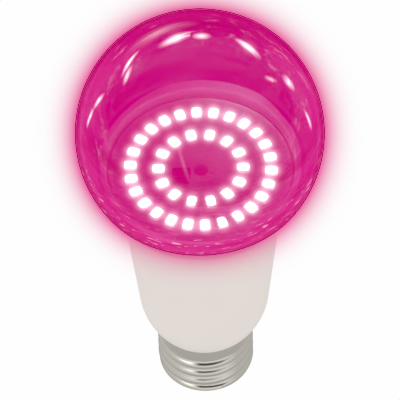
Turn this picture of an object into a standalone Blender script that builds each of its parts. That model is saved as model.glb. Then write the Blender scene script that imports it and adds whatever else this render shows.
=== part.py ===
"""A screw-cap LED grow bulb, upright with its cap down.

Metres, +Z up. The origin is the flat tip of the centre contact, on the bulb's axis.
A clear globe closes a white tapered housing. Under the globe, a round metal-core board
carries two rings of surface-mount LEDs on an aluminium heat sink. The housing holds the
driver board on two slotted rails, and its neck stands in a thread-rolled cap shell.
"""

import math

import bmesh
import bpy
from mathutils import Vector

MM = 0.001
TAU = 2 * math.pi

# Clearance between touching pieces
SEAT_GAP = 0.3 * MM

# Cap: centre contact, insulator and screw shell
CONTACT_R = 4.6 * MM
CONTACT_FLAT_R = 2.6 * MM
CONTACT_HEAD_H = 1.3 * MM
RIVET_R = 1.2 * MM
RIVET_H = 9.0 * MM
SHELL_R = 13.1 * MM
SHELL_TOP_Z = 26.4 * MM
SHELL_WALL = 0.3 * MM
SHELL_HEEL_R = 2.6 * MM
LIP_Z = 6.5 * MM
SHELL_BAND_H = 3.4 * MM
THREAD_PITCH = 3.629 * MM
THREAD_DEPTH = 1.05 * MM
THREAD_START_RISE = 1.29 * MM
THREAD_FOOT = 1.8 * MM
THREAD_RUN_OUT = 2.0 * MM
INSULATOR_RIM = 0.8 * MM
INSULATOR_FLANGE_H = 1.6 * MM
INSULATOR_DISH = 1.0 * MM
CONTACT_SEAT_RIM = 0.5 * MM

# Housing, from its shoulder on the shell up to the rim
HOUSING_H = 65.9 * MM
HOUSING_WALL = 1.8 * MM
SHOULDER_STEP = 0.3 * MM
HEEL_ARC_R = 21.7 * MM
HEEL_END_ANGLE = math.radians(36.8)
TAPER_ANGLE = math.radians(5.31)
FLARE_H = 26.1 * MM
FLARE_BULGE = 0.4 * MM
FLOOR_T = 1.6 * MM
NECK_LENGTH = 12.7 * MM
NECK_BAND_H = 3.6 * MM
NECK_WALL = 1.65 * MM
NECK_STEP = 0.5 * MM

# Globe and its seat in the rim
GLOBE_WALL = 1.5 * MM
JOINT_ANGLE = math.radians(24.8)
RIM_WIDTH = 2.6 * MM
COLLAR_DEPTH = 2.0 * MM
COLLAR_WALL = 1.1 * MM
COLLAR_SHELF = 1.0 * MM
COLLAR_CHAMFER = 0.3 * MM
LEDGE_WIDTH = 1.6 * MM

# Heat sink, LED board and LEDs
SINK_PLATE_T = 1.2 * MM
SINK_WALL = 1.0 * MM
SINK_SKIRT_H = 22.0 * MM
SINK_HOLE_R = 3.2 * MM
BOARD_T = 1.2 * MM
BOARD_EDGE_GAP = 0.7 * MM
BOARD_PROUD = 0.25 * MM
BOARD_HOLE_R = 2.0 * MM
NOTCH_R = 0.8 * MM
NOTCH_INSET = 1.4 * MM
NOTCH_ANGLES = (math.radians(2), math.radians(199))
LED_L = 3.5 * MM
LED_W = 2.8 * MM
LED_H = 0.75 * MM
LED_FRAME = 0.35 * MM
LED_RECESS = 0.1 * MM
LED_EDGE_MARGIN = 5.74 * MM
RING_SPACING = 7.56 * MM
OUTER_COUNT = 26
INNER_COUNT = 14
OUTER_PHASE = math.radians(9.17)
INNER_PHASE = math.radians(-0.67)

# Connector on the LED board
CONNECTOR_L = 5.0 * MM
CONNECTOR_W = 3.6 * MM
CONNECTOR_H = 2.5 * MM
CONNECTOR_HOLE_GAP = 0.7 * MM
CONNECTOR_RING_GAP = 0.53 * MM
CONNECTOR_Y = -2.9 * MM
CONNECTOR_BEVEL = 0.25 * MM
LEAD_PITCH = 2.0 * MM
LEAD_R = 0.5 * MM
LEAD_PLUG_DEPTH = 1.2 * MM

# Driver board, its rails and its parts
DRIVER_T = 1.0 * MM
DRIVER_SIDE_GAP = 0.5 * MM
DRIVER_RISE = 33.7 * MM
TONGUE_RISE = 1.0 * MM
RAIL_BOTTOM_RISE = 9.3 * MM
RAIL_LENGTH = 22.0 * MM
RAIL_HALF_W = 1.9 * MM
RAIL_GRIP = 1.1 * MM
# The places are across the board and above the housing's floor
CAN_R = 5.0 * MM
CAN_L = 12.5 * MM
CAN_PLACE = (1.0 * MM, 23.2 * MM)
FILM_SIZE = (8.0 * MM, 5.0 * MM, 9.0 * MM)
FILM_PLACE = (-4.5 * MM, 24.7 * MM)
FILM_BEVEL = 0.6 * MM
COIL_SIZE = (9.0 * MM, 8.6 * MM, 6.4 * MM)
CORE_SIZE = (10.4 * MM, 6.8 * MM, 9.6 * MM)
COIL_PLACE = (-1.0 * MM, 8.7 * MM)
COIL_BEVEL = 0.8 * MM
IC_SIZE = (4.9 * MM, 3.9 * MM, 1.5 * MM)
IC_PLACE = (4.8 * MM, 21.7 * MM)
IC_LEAD_PITCH = 1.27 * MM
BRIDGE_SIZE = (4.7 * MM, 4.0 * MM, 1.4 * MM)
BRIDGE_PLACE = (0.0 * MM, 9.7 * MM)
BRIDGE_LEAD_PITCH = 2.5 * MM
CHIP_BEVEL = 0.2 * MM
CHIP_LEAD_W = 0.45 * MM
CHIP_LEAD_REACH = 1.1 * MM
RESISTOR_R = 1.5 * MM
RESISTOR_L = 7.0 * MM
RESISTOR_RISE = 6.0 * MM
RESISTOR_FOOT = 1.2 * MM
RESISTOR_BEND = 0.6 * MM
WIRE_R = 0.45 * MM
BARE_WIRE_R = 0.3 * MM
LIVE_PAD_X = 2.0 * MM
NEUTRAL_PAD_X = 5.0 * MM
PAD_RUN = 4.5 * MM

# Facets
TURN_STEPS = 36
SHELL_STEPS = 32
THREAD_ROWS = 6

# Places worked out from the sizes above
HOUSING_BOTTOM_Z = SHELL_TOP_Z + SEAT_GAP
RIM_Z = HOUSING_BOTTOM_Z + HOUSING_H
CONNECTOR_X = -(BOARD_HOLE_R + CONNECTOR_HOLE_GAP + CONNECTOR_L / 2)
CONNECTOR_REACH = math.hypot(abs(CONNECTOR_X) + CONNECTOR_L / 2, abs(CONNECTOR_Y) + CONNECTOR_W / 2)
INNER_RING_R = CONNECTOR_REACH + CONNECTOR_RING_GAP + LED_L / 2
OUTER_RING_R = INNER_RING_R + RING_SPACING
BOARD_R = OUTER_RING_R + LED_EDGE_MARGIN
RECESS_R = BOARD_R + BOARD_EDGE_GAP
GROOVE_R = RECESS_R + LEDGE_WIDTH
COLLAR_R = GROOVE_R - SEAT_GAP
COLLAR_BORE_R = COLLAR_R - COLLAR_WALL
JOINT_R = GROOVE_R + RIM_WIDTH
JOINT_Z = RIM_Z + SEAT_GAP
GLOBE_R = JOINT_R / math.cos(JOINT_ANGLE)
GLOBE_Z = JOINT_Z + GLOBE_R * math.sin(JOINT_ANGLE)
GROOVE_Z = JOINT_Z - COLLAR_DEPTH - SEAT_GAP
BOARD_TOP_Z = GROOVE_Z + BOARD_PROUD
BOARD_Z = BOARD_TOP_Z - BOARD_T
SINK_TOP_Z = BOARD_Z - SEAT_GAP
SINK_PLATE_Z = SINK_TOP_Z - SINK_PLATE_T
SINK_SEAT_Z = SINK_PLATE_Z - SEAT_GAP
LIP_R = SHELL_R - SHELL_HEEL_R
THREAD_TOP_Z = SHELL_TOP_Z - SHELL_BAND_H
THREAD_BOTTOM_Z = LIP_Z + THREAD_FOOT
THREAD_START_Z = LIP_Z + THREAD_START_RISE
SHOULDER_R = SHELL_R + SHOULDER_STEP
NECK_BAND_R = SHELL_R - SHELL_WALL - SEAT_GAP
NECK_R = NECK_BAND_R - THREAD_DEPTH
NECK_BORE_R = NECK_R - NECK_WALL
NECK_BOTTOM_Z = HOUSING_BOTTOM_Z - NECK_LENGTH
FLOOR_Z = HOUSING_BOTTOM_Z + FLOOR_T
DRIVER_TOP_Z = FLOOR_Z + DRIVER_RISE
RESISTOR_Z = NECK_BOTTOM_Z + RESISTOR_RISE
INSULATOR_BORE_R = RIVET_R + SEAT_GAP
DRIVER_FACE_Y = DRIVER_T / 2


def scene_collection(name):
    made = bpy.data.collections.new(name)
    bpy.context.scene.collection.children.link(made)
    return made


def material(name, colour, roughness, metallic=0.0, alpha=1.0):
    made = bpy.data.materials.new(name)
    made.use_nodes = True
    shader = made.node_tree.nodes["Principled BSDF"]
    shader.inputs["Base Color"].default_value = (*colour, 1.0)
    shader.inputs["Roughness"].default_value = roughness
    shader.inputs["Metallic"].default_value = metallic
    shader.inputs["Alpha"].default_value = alpha
    return made


def add_object(name, mesh, finish):
    made = bpy.data.objects.new(name, mesh)
    PARTS.objects.link(made)
    if not mesh.materials:
        mesh.materials.append(finish)
    return made


def as_cutter(tool):
    """Moves a helper shape to the cutters' collection, out of the render."""
    PARTS.objects.unlink(tool)
    CUTTERS.objects.link(tool)
    tool.hide_render = True
    tool.display_type = "WIRE"
    return tool


def mesh_from(shape, name):
    made = bpy.data.meshes.new(name)
    shape.to_mesh(made)
    shape.free()
    return made


def arc(centre_r, centre_z, radius, start, end, steps):
    """Points on an arc; the angle is measured from +X towards +Z."""
    turn = [start + (end - start) * i / steps for i in range(steps + 1)]
    return [(centre_r + radius * math.cos(a), centre_z + radius * math.sin(a)) for a in turn]


def bezier(p0, p1, p2, p3, steps):
    points = []
    for i in range(steps + 1):
        t = i / steps
        weights = ((1 - t) ** 3, 3 * t * (1 - t) ** 2, 3 * t * t * (1 - t), t ** 3)
        points.append(tuple(sum(w * p[k] for w, p in zip(weights, (p0, p1, p2, p3))) for k in (0, 1)))
    return points


def inset(points, distance):
    """A wall's line moved towards the axis, square to itself. The line runs from top to bottom."""
    moved = []
    for i, (r, z) in enumerate(points):
        before = points[max(i - 1, 0)]
        after = points[min(i + 1, len(points) - 1)]
        run = Vector((after[0] - before[0], after[1] - before[1])).normalized()
        moved.append((r + run.y * distance, z - run.x * distance))
    return moved


def between(points, low_z, high_z):
    """The stretch of a falling line from high_z down to low_z, cut exactly at both heights."""
    kept = []
    for (r0, z0), (r1, z1) in zip(points, points[1:]):
        if z1 >= high_z or z0 <= low_z:
            continue
        top = min(z0, high_z)
        bottom = max(z1, low_z)
        slope = (r1 - r0) / (z1 - z0)
        if not kept:
            kept.append((r0 + slope * (top - z0), top))
        kept.append((r0 + slope * (bottom - z0), bottom))
    return kept


def turned(name, profile, finish, closed=False, steps=TURN_STEPS):
    """A profile of (radius, height) turned round the Z axis. It runs down its outer side."""
    mesh = bpy.data.meshes.new(name)
    edges = [(i, i + 1) for i in range(len(profile) - 1)]
    if closed:
        edges.append((len(profile) - 1, 0))
    mesh.from_pydata([(r, 0, z) for r, z in profile], edges, [])
    made = add_object(name, mesh, finish)
    turn = made.modifiers.new("turn", "SCREW")
    turn.steps = steps
    turn.render_steps = steps
    turn.use_merge_vertices = True
    turn.merge_threshold = 0.00001
    turn.use_smooth_shade = True
    return made


def block(name, size, centre, finish, bevel=0.0, segments=2):
    shape = bmesh.new()
    bmesh.ops.create_cube(shape, size=1.0)
    bmesh.ops.scale(shape, vec=size, verts=shape.verts)
    if bevel:
        bmesh.ops.bevel(shape, geom=shape.edges[:], offset=bevel, segments=segments, profile=0.5,
                        affect="EDGES", material=-1)
    made = add_object(name, mesh_from(shape, name), finish)
    made.location = centre
    return made


def cylinder(name, radius, length, centre, finish, segments=24):
    shape = bmesh.new()
    bmesh.ops.create_cone(shape, cap_ends=True, segments=segments, radius1=radius, radius2=radius, depth=length)
    made = add_object(name, mesh_from(shape, name), finish)
    made.location = centre
    return made


def combine(target, tool, operation):
    step = target.modifiers.new(operation.lower() + "_" + tool.name, "BOOLEAN")
    step.operation = operation
    step.solver = "EXACT"
    step.object = as_cutter(tool)


def smooth_route(points, steps):
    """A Catmull-Rom curve through the points, with a few points for each span."""
    spots = [Vector(p) for p in points]
    ends = [2 * spots[0] - spots[1]] + spots + [2 * spots[-1] - spots[-2]]
    route = []
    for a, b, c, d in zip(ends, ends[1:], ends[2:], ends[3:]):
        for i in range(steps):
            t = i / steps
            route.append(0.5 * (2 * b + (c - a) * t + (2 * a - 5 * b + 4 * c - d) * t * t
                                + (3 * b - a - 3 * c + d) * t ** 3))
    return route + [spots[-1]]


def wire(name, points, radius, finish, steps=3):
    curve = bpy.data.curves.new(name, "CURVE")
    curve.dimensions = "3D"
    curve.bevel_depth = radius
    curve.bevel_resolution = 2
    curve.use_fill_caps = True
    route = smooth_route(points, steps)
    line = curve.splines.new("POLY")
    line.points.add(len(route) - 1)
    for point, spot in zip(line.points, route):
        point.co = (*spot, 1.0)
    made = bpy.data.objects.new(name, curve)
    curve.materials.append(finish)
    PARTS.objects.link(made)
    return made


def wire_as_mesh(source):
    """The same wire as a closed mesh, so that a body can be joined to it."""
    bpy.context.view_layer.update()
    seen = source.evaluated_get(bpy.context.evaluated_depsgraph_get())
    mesh = bpy.data.meshes.new_from_object(seen)
    shape = bmesh.new()
    shape.from_mesh(mesh)
    bmesh.ops.remove_doubles(shape, verts=shape.verts, dist=0.000001)
    shape.to_mesh(mesh)
    shape.free()
    name = source.name
    place = source.matrix_world.copy()
    curve = source.data
    bpy.data.objects.remove(source)
    bpy.data.curves.remove(curve)
    made = bpy.data.objects.new(name, mesh)
    made.matrix_world = place
    PARTS.objects.link(made)
    return made


def smoothstep(t):
    t = min(max(t, 0.0), 1.0)
    return t * t * (3 - 2 * t)


def housing_line():
    """The housing's outer line, from the rim down to the shoulder: flare, taper and heel."""
    heel_r = SHOULDER_R - HEEL_ARC_R * math.cos(HEEL_END_ANGLE)
    heel_z = HOUSING_BOTTOM_Z + HEEL_ARC_R * math.sin(HEEL_END_ANGLE)
    heel = arc(heel_r, heel_z, HEEL_ARC_R, -TAPER_ANGLE, -HEEL_END_ANGLE, 5)
    flare_z = RIM_Z - FLARE_H
    flare_r = heel[0][0] + math.tan(TAPER_ANGLE) * (flare_z - heel[0][1])
    reach = JOINT_R - flare_r
    flare = bezier((JOINT_R, RIM_Z), (flare_r + 0.33 * reach, RIM_Z - 0.35 * FLARE_H),
                   (flare_r + FLARE_BULGE, flare_z + 0.35 * FLARE_H), (flare_r, flare_z), 8)
    return flare + heel


def radius_at(points, height):
    return between(points, height - MM, height)[0][0]


def driver_half_width():
    """The driver board's shoulders stand on the floor, just inside the heel's inner face."""
    return radius_at(inset(housing_line(), HOUSING_WALL), FLOOR_Z + SEAT_GAP) - DRIVER_SIDE_GAP


def centre_contact():
    """A rivet: its head is the tip, and its stem holds in the insulator's bore."""
    shoulder = 0.5 * (CONTACT_FLAT_R + CONTACT_R)
    profile = [(0, RIVET_H), (RIVET_R, RIVET_H), (RIVET_R, CONTACT_HEAD_H), (CONTACT_R, CONTACT_HEAD_H),
               (CONTACT_R, 0.75 * CONTACT_HEAD_H), (0.5 * (shoulder + CONTACT_R), 0.3 * CONTACT_HEAD_H),
               (shoulder, 0.08 * CONTACT_HEAD_H), (CONTACT_FLAT_R, 0), (0, 0)]
    turned("centre_contact", profile, BRASS, steps=24)


def cap_insulator():
    """A cone of black glass with a flange that lies on the shell's rolled lip."""
    face_z = CONTACT_HEAD_H + SEAT_GAP
    waist_r = LIP_R - SEAT_GAP
    flange_r = LIP_R + INSULATOR_RIM
    flange_z = LIP_Z + SHELL_WALL + SEAT_GAP
    top_z = flange_z + INSULATOR_FLANGE_H
    dish_z = top_z - INSULATOR_DISH
    profile = [(flange_r, top_z), (flange_r, flange_z), (waist_r, flange_z), (waist_r, LIP_Z - SEAT_GAP),
               (CONTACT_R + CONTACT_SEAT_RIM, face_z), (INSULATOR_BORE_R, face_z), (INSULATOR_BORE_R, dish_z),
               (3 * INSULATOR_BORE_R, dish_z), (4 * INSULATOR_BORE_R, top_z)]
    turned("cap_insulator", profile, BLACK_GLASS, closed=True, steps=24)


def thread_depth(angle, height):
    """How far the rolled groove lies inside the crest. The thread is right-handed."""
    turns = (height - THREAD_START_Z) / THREAD_PITCH - angle / TAU
    groove = 0.5 - 0.5 * math.cos(TAU * turns)
    top = smoothstep((THREAD_TOP_Z - height) / THREAD_RUN_OUT)
    bottom = smoothstep((height - THREAD_BOTTOM_Z) / THREAD_RUN_OUT)
    return THREAD_DEPTH * groove * top * bottom


def cap_shell():
    """Thin sheet, spun round the axis, with the thread rolled into it row by row."""
    heel = arc(LIP_R, LIP_Z + SHELL_HEEL_R, SHELL_HEEL_R, 0, -0.5 * math.pi, 5)
    rows = int(round((THREAD_TOP_Z - heel[0][1]) / THREAD_PITCH * THREAD_ROWS))
    row_gap = (THREAD_TOP_Z - heel[0][1]) / rows
    line = [(SHELL_R, SHELL_TOP_Z)] + [(SHELL_R, THREAD_TOP_Z - row_gap * i) for i in range(rows)]
    line += heel
    shape = bmesh.new()
    verts = [shape.verts.new((r, 0, z)) for r, z in line]
    edges = [shape.edges.new(pair) for pair in zip(verts, verts[1:])]
    bmesh.ops.spin(shape, geom=verts + edges, axis=(0, 0, 1), cent=(0, 0, 0), angle=TAU, steps=SHELL_STEPS,
                   use_merge=True)
    for vert in shape.verts:
        angle = math.atan2(vert.co.y, vert.co.x)
        depth = thread_depth(angle, vert.co.z)
        vert.co.x -= depth * math.cos(angle)
        vert.co.y -= depth * math.sin(angle)
    bmesh.ops.recalc_face_normals(shape, faces=shape.faces)
    mesh = mesh_from(shape, "cap_shell")
    mesh.shade_smooth()
    shell = add_object("cap_shell", mesh, NICKEL)
    sheet = shell.modifiers.new("sheet", "SOLIDIFY")
    sheet.thickness = SHELL_WALL
    sheet.offset = -1.0
    sheet.use_even_offset = True
    return shell


def driver_rail(side, wall):
    """A slotted rib on the housing's wall; its back lies inside the wall's thickness."""
    low = HOUSING_BOTTOM_Z + RAIL_BOTTOM_RISE
    high = low + RAIL_LENGTH
    front = driver_half_width() - RAIL_GRIP
    rib = block("rail_rib", (MM, 2 * RAIL_HALF_W, RAIL_LENGTH), (0, 0, 0), WHITE_PLASTIC)
    for vert in rib.data.vertices:
        height = high if vert.co.z > 0 else low
        back = radius_at(wall, height) - 0.5 * HOUSING_WALL
        vert.co = (side * (back if vert.co.x > 0 else front), vert.co.y, height)
    if side < 0:
        rib.data.flip_normals()
    return rib


def body_housing():
    """Moulded white shell: rim and seats at the top, tapered wall, heel, and the neck in the cap."""
    wall = housing_line()
    inner = between(inset(wall, HOUSING_WALL), FLOOR_Z, SINK_SEAT_Z)
    neck = [(NECK_BAND_R, HOUSING_BOTTOM_Z), (NECK_BAND_R, HOUSING_BOTTOM_Z - NECK_BAND_H),
            (NECK_R, HOUSING_BOTTOM_Z - NECK_BAND_H - NECK_STEP), (NECK_R, NECK_BOTTOM_Z),
            (NECK_BORE_R, NECK_BOTTOM_Z), (NECK_BORE_R, FLOOR_Z)]
    seats = [(RECESS_R, SINK_SEAT_Z), (RECESS_R, GROOVE_Z), (GROOVE_R, GROOVE_Z), (GROOVE_R, RIM_Z)]
    housing = turned("body_housing", wall + neck + inner[::-1] + seats, WHITE_PLASTIC, closed=True)
    for side in (1, -1):
        combine(housing, driver_rail(side, wall), "UNION")
    slot_size = (2 * (driver_half_width() + SEAT_GAP), DRIVER_T + 2 * SEAT_GAP, 1.1 * RAIL_LENGTH)
    slot = block("rail_slot", slot_size, (0, 0, HOUSING_BOTTOM_Z + RAIL_BOTTOM_RISE + 0.5 * RAIL_LENGTH),
                 WHITE_PLASTIC)
    combine(housing, slot, "DIFFERENCE")


def heat_sink():
    """Drawn aluminium cup, mouth down: its plate carries the board, its skirt follows the housing."""
    wall = housing_line()
    low = SINK_PLATE_Z - SINK_SKIRT_H
    outer = between(inset(wall, HOUSING_WALL + SEAT_GAP), low, SINK_PLATE_Z)
    inner = between(inset(wall, HOUSING_WALL + SEAT_GAP + SINK_WALL), low, SINK_PLATE_Z)
    plate_r = RECESS_R - SEAT_GAP
    profile = [(plate_r, SINK_TOP_Z), (plate_r, SINK_PLATE_Z)] + outer + inner[::-1]
    profile += [(SINK_HOLE_R, SINK_PLATE_Z), (SINK_HOLE_R, SINK_TOP_Z)]
    sink = turned("heat_sink", profile, ALUMINIUM, closed=True)
    slot_size = (LEAD_PITCH + 2 * (LEAD_R + SEAT_GAP), 2 * (LEAD_R + SEAT_GAP), 4 * SINK_PLATE_T)
    combine(sink, block("lead_slot", slot_size, (CONNECTOR_X, CONNECTOR_Y, SINK_TOP_Z), ALUMINIUM), "DIFFERENCE")


def globe_cover():
    """Clear globe: a blown sphere that ends in a shelf and a collar, which drops into the rim."""
    bore = GLOBE_R - GLOBE_WALL
    shelf_z = JOINT_Z + COLLAR_SHELF
    shelf_angle = math.asin((GLOBE_Z - shelf_z) / bore)
    outer = arc(0, GLOBE_Z, GLOBE_R, 0.5 * math.pi, -JOINT_ANGLE, 15)
    inner = arc(0, GLOBE_Z, bore, -shelf_angle, 0.5 * math.pi, 13)
    outer[0] = (0, GLOBE_Z + GLOBE_R)
    inner[-1] = (0, GLOBE_Z + bore)
    collar = [(COLLAR_R, JOINT_Z), (COLLAR_R, JOINT_Z - COLLAR_DEPTH), (COLLAR_BORE_R, JOINT_Z - COLLAR_DEPTH),
              (COLLAR_BORE_R, shelf_z - COLLAR_CHAMFER), (COLLAR_BORE_R + COLLAR_CHAMFER, shelf_z)]
    turned("globe_cover", outer + collar + inner, CLEAR_PLASTIC)


def lead_places():
    """The two leads enter the connector from below, side by side."""
    return [(CONNECTOR_X + side * LEAD_PITCH / 2, CONNECTOR_Y) for side in (-1, 1)]


def led_board():
    board = cylinder("led_board", BOARD_R, BOARD_T, (0, 0, BOARD_Z + BOARD_T / 2), WHITE_BOARD, segments=72)
    holes = [(BOARD_HOLE_R, 0, 0)]
    holes += [(LEAD_R + SEAT_GAP, x, y) for x, y in lead_places()]
    notch_at = BOARD_R - NOTCH_INSET
    holes += [(NOTCH_R, notch_at * math.cos(a), notch_at * math.sin(a)) for a in NOTCH_ANGLES]
    for number, (radius, x, y) in enumerate(holes):
        tool = cylinder("board_hole_%d" % number, radius, 3 * BOARD_T, (x, y, BOARD_Z), WHITE_BOARD)
        combine(board, tool, "DIFFERENCE")
    for number, angle in enumerate(NOTCH_ANGLES):
        mouth = block("notch_mouth_%d" % number, (2 * NOTCH_INSET, 2 * NOTCH_R, 3 * BOARD_T),
                      (BOARD_R * math.cos(angle), BOARD_R * math.sin(angle), BOARD_Z), WHITE_BOARD)
        mouth.rotation_euler = (0, 0, angle)
        combine(board, mouth, "DIFFERENCE")


def led_mesh():
    """One package: a white frame with a sunk window, and the chamfered corner that marks its cathode."""
    shape = bmesh.new()
    bmesh.ops.create_cube(shape, size=1.0)
    bmesh.ops.scale(shape, vec=(LED_L, LED_W, LED_H), verts=shape.verts)
    uprights = [e for e in shape.edges if abs(e.verts[0].co.z - e.verts[1].co.z) > LED_H / 2]
    marked = [e for e in uprights if e.verts[0].co.x > 0 and e.verts[0].co.y > 0]
    bmesh.ops.bevel(shape, geom=marked, offset=LED_FRAME, segments=1, profile=0.5, affect="EDGES", material=-1)
    shape.faces.ensure_lookup_table()
    top = max(shape.faces, key=lambda f: f.calc_center_median().z)
    bmesh.ops.inset_individual(shape, faces=[top], thickness=LED_FRAME, depth=-LED_RECESS)
    return mesh_from(shape, "led_package")


def leds():
    package = led_mesh()
    rings = (("led_outer", OUTER_RING_R, OUTER_COUNT, OUTER_PHASE),
             ("led_inner", INNER_RING_R, INNER_COUNT, INNER_PHASE))
    for ring, radius, count, phase in rings:
        for number in range(count):
            angle = phase + TAU * number / count
            led = add_object("%s_%02d" % (ring, number + 1), package, LED_WHITE)
            led.location = (radius * math.cos(angle), radius * math.sin(angle), BOARD_TOP_Z + SEAT_GAP + LED_H / 2)
            led.rotation_euler = (0, 0, angle)


def board_connector():
    base_z = BOARD_TOP_Z + SEAT_GAP
    body = block("board_connector", (CONNECTOR_L, CONNECTOR_W, CONNECTOR_H),
                 (CONNECTOR_X, CONNECTOR_Y, base_z + CONNECTOR_H / 2), DARK_PLASTIC,
                 bevel=CONNECTOR_BEVEL, segments=1)
    depth = LEAD_PLUG_DEPTH + SEAT_GAP
    for number, (x, y) in enumerate(lead_places()):
        socket = cylinder("socket_%d" % number, LEAD_R + SEAT_GAP, 2 * depth, (x, y, base_z), DARK_PLASTIC,
                          segments=16)
        combine(body, socket, "DIFFERENCE")


def driver_board():
    """Upright board: its shoulders stand on the housing's floor and its tongue reaches down the neck."""
    tongue = math.sqrt(NECK_BORE_R ** 2 - DRIVER_FACE_Y ** 2) - SEAT_GAP
    low = NECK_BOTTOM_Z + TONGUE_RISE
    shoulder = FLOOR_Z + SEAT_GAP
    half_w = driver_half_width()
    half = [(tongue, low), (tongue, shoulder), (half_w, shoulder), (half_w, DRIVER_TOP_Z)]
    outline = half + [(-x, z) for x, z in reversed(half)]
    curve = bpy.data.curves.new("driver_board", "CURVE")
    curve.dimensions = "2D"
    curve.fill_mode = "BOTH"
    curve.extrude = DRIVER_T / 2
    line = curve.splines.new("POLY")
    line.points.add(len(outline) - 1)
    for point, (x, z) in zip(line.points, outline):
        point.co = (x, z, 0, 1)
    line.use_cyclic_u = True
    curve.materials.append(GREEN_BOARD)
    board = bpy.data.objects.new("driver_board", curve)
    board.rotation_euler = (math.pi / 2, 0, 0)
    PARTS.objects.link(board)


def electrolytic_capacitor():
    """An aluminium can that stands on the board's front, with its crimp near the base."""
    crimp = 0.08 * CAN_R
    profile = [(0, CAN_L), (CAN_R - 3 * crimp, CAN_L), (CAN_R - crimp, CAN_L - crimp), (CAN_R, CAN_L - 3 * crimp),
               (CAN_R, 0.2 * CAN_L), (CAN_R - 1.5 * crimp, 0.16 * CAN_L), (CAN_R, 0.12 * CAN_L),
               (CAN_R, crimp), (CAN_R - crimp, 0), (0, 0)]
    can = turned("electrolytic_capacitor", profile, CAN_SLEEVE, steps=24)
    can.location = (CAN_PLACE[0], -(DRIVER_FACE_Y + SEAT_GAP), FLOOR_Z + CAN_PLACE[1])
    can.rotation_euler = (math.pi / 2, 0, 0)


def film_capacitor():
    y = DRIVER_FACE_Y + SEAT_GAP + FILM_SIZE[1] / 2
    block("film_capacitor", FILM_SIZE, (FILM_PLACE[0], y, FLOOR_Z + FILM_PLACE[1]), FILM_YELLOW, bevel=FILM_BEVEL)


def power_inductor():
    """A taped coil with its ferrite core closed round it."""
    y = -(DRIVER_FACE_Y + SEAT_GAP + COIL_SIZE[1] / 2)
    centre = (COIL_PLACE[0], y, FLOOR_Z + COIL_PLACE[1])
    coil = block("power_inductor", COIL_SIZE, centre, TAPE, bevel=COIL_BEVEL)
    core = block("inductor_core", CORE_SIZE, centre, TAPE)
    combine(coil, core, "UNION")


def chip(name, size, place, leads, pitch, finish):
    """A moulded chip on the board's back, with flat leads that run out along both sides."""
    width, length, height = size
    face = DRIVER_FACE_Y + SEAT_GAP
    z = FLOOR_Z + place[1]
    body = block(name, (width, height, length), (place[0], face + height / 2, z), finish, bevel=CHIP_BEVEL,
                 segments=1)
    shape = bmesh.new()
    for number in range(leads):
        x = (number - (leads - 1) / 2) * pitch
        made = bmesh.ops.create_cube(shape, size=1.0)["verts"]
        bmesh.ops.scale(shape, vec=(CHIP_LEAD_W, height / 3, length + 2 * CHIP_LEAD_REACH), verts=made)
        bmesh.ops.translate(shape, vec=(x, height / 6, 0), verts=made)
    comb = add_object(name + "_leads", mesh_from(shape, name + "_leads"), finish)
    comb.location = (place[0], face + 0.02 * height, z)
    combine(body, comb, "UNION")


def fuse_resistor():
    """An axial resistor across the tongue: its wire bends down to the board at both ends."""
    face = -(DRIVER_FACE_Y + SEAT_GAP + BARE_WIRE_R)
    lift = face - RESISTOR_R
    foot = 0.5 * RESISTOR_L + RESISTOR_FOOT
    knee = foot - RESISTOR_BEND
    drop = lift + RESISTOR_BEND
    route = [(-foot, face, RESISTOR_Z), (-foot, drop, RESISTOR_Z), (-knee, lift, RESISTOR_Z), (0, lift, RESISTOR_Z),
             (knee, lift, RESISTOR_Z), (foot, drop, RESISTOR_Z), (foot, face, RESISTOR_Z)]
    lead = wire_as_mesh(wire("fuse_resistor", route, BARE_WIRE_R, CERAMIC_BLUE, steps=3))
    waist = 0.8 * RESISTOR_R
    half = RESISTOR_L / 2
    upper = [(0, half), (0.7 * RESISTOR_R, half), (RESISTOR_R, 0.86 * half), (RESISTOR_R, 0.6 * half),
             (waist, 0.43 * half)]
    profile = upper + [(r, -z) for r, z in reversed(upper)]
    bead = turned("resistor_bead", profile, CERAMIC_BLUE, steps=16)
    bead.location = (0, lift, RESISTOR_Z)
    bead.rotation_euler = (0, math.pi / 2, 0)
    combine(lead, bead, "UNION")


def supply_wires():
    """Live runs from the tongue to the rivet; neutral runs out to the shell under the neck."""
    face = DRIVER_FACE_Y + SEAT_GAP
    tongue_z = NECK_BOTTOM_Z + TONGUE_RISE
    rivet_z = RIVET_H + SEAT_GAP
    drop = tongue_z - rivet_z
    live_x = -LIVE_PAD_X
    live_y = face + WIRE_R
    live = [(live_x, live_y, tongue_z + PAD_RUN), (live_x, live_y, tongue_z + 0.3 * PAD_RUN),
            (0.8 * live_x, 0.9 * live_y, tongue_z - 0.3 * drop), (0.15 * live_x, 0.3 * live_y, tongue_z - 0.6 * drop),
            (0, 0, rivet_z)]
    wire("live_wire", live, WIRE_R, RED_WIRE)
    bare_y = face + BARE_WIRE_R
    under_z = NECK_BOTTOM_Z - SEAT_GAP - BARE_WIRE_R
    reach = SHELL_R - THREAD_DEPTH - SHELL_WALL - SEAT_GAP
    end_x = math.sqrt(reach ** 2 - bare_y ** 2)
    span = end_x - NEUTRAL_PAD_X
    neutral = [(NEUTRAL_PAD_X, bare_y, tongue_z + PAD_RUN), (NEUTRAL_PAD_X, bare_y, tongue_z + 0.1 * PAD_RUN),
               (NEUTRAL_PAD_X + 0.12 * span, bare_y, under_z + 0.7 * BARE_WIRE_R),
               (NEUTRAL_PAD_X + 0.38 * span, bare_y, under_z), (end_x, bare_y, under_z)]
    wire("neutral_wire", neutral, BARE_WIRE_R, TINNED)


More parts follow.
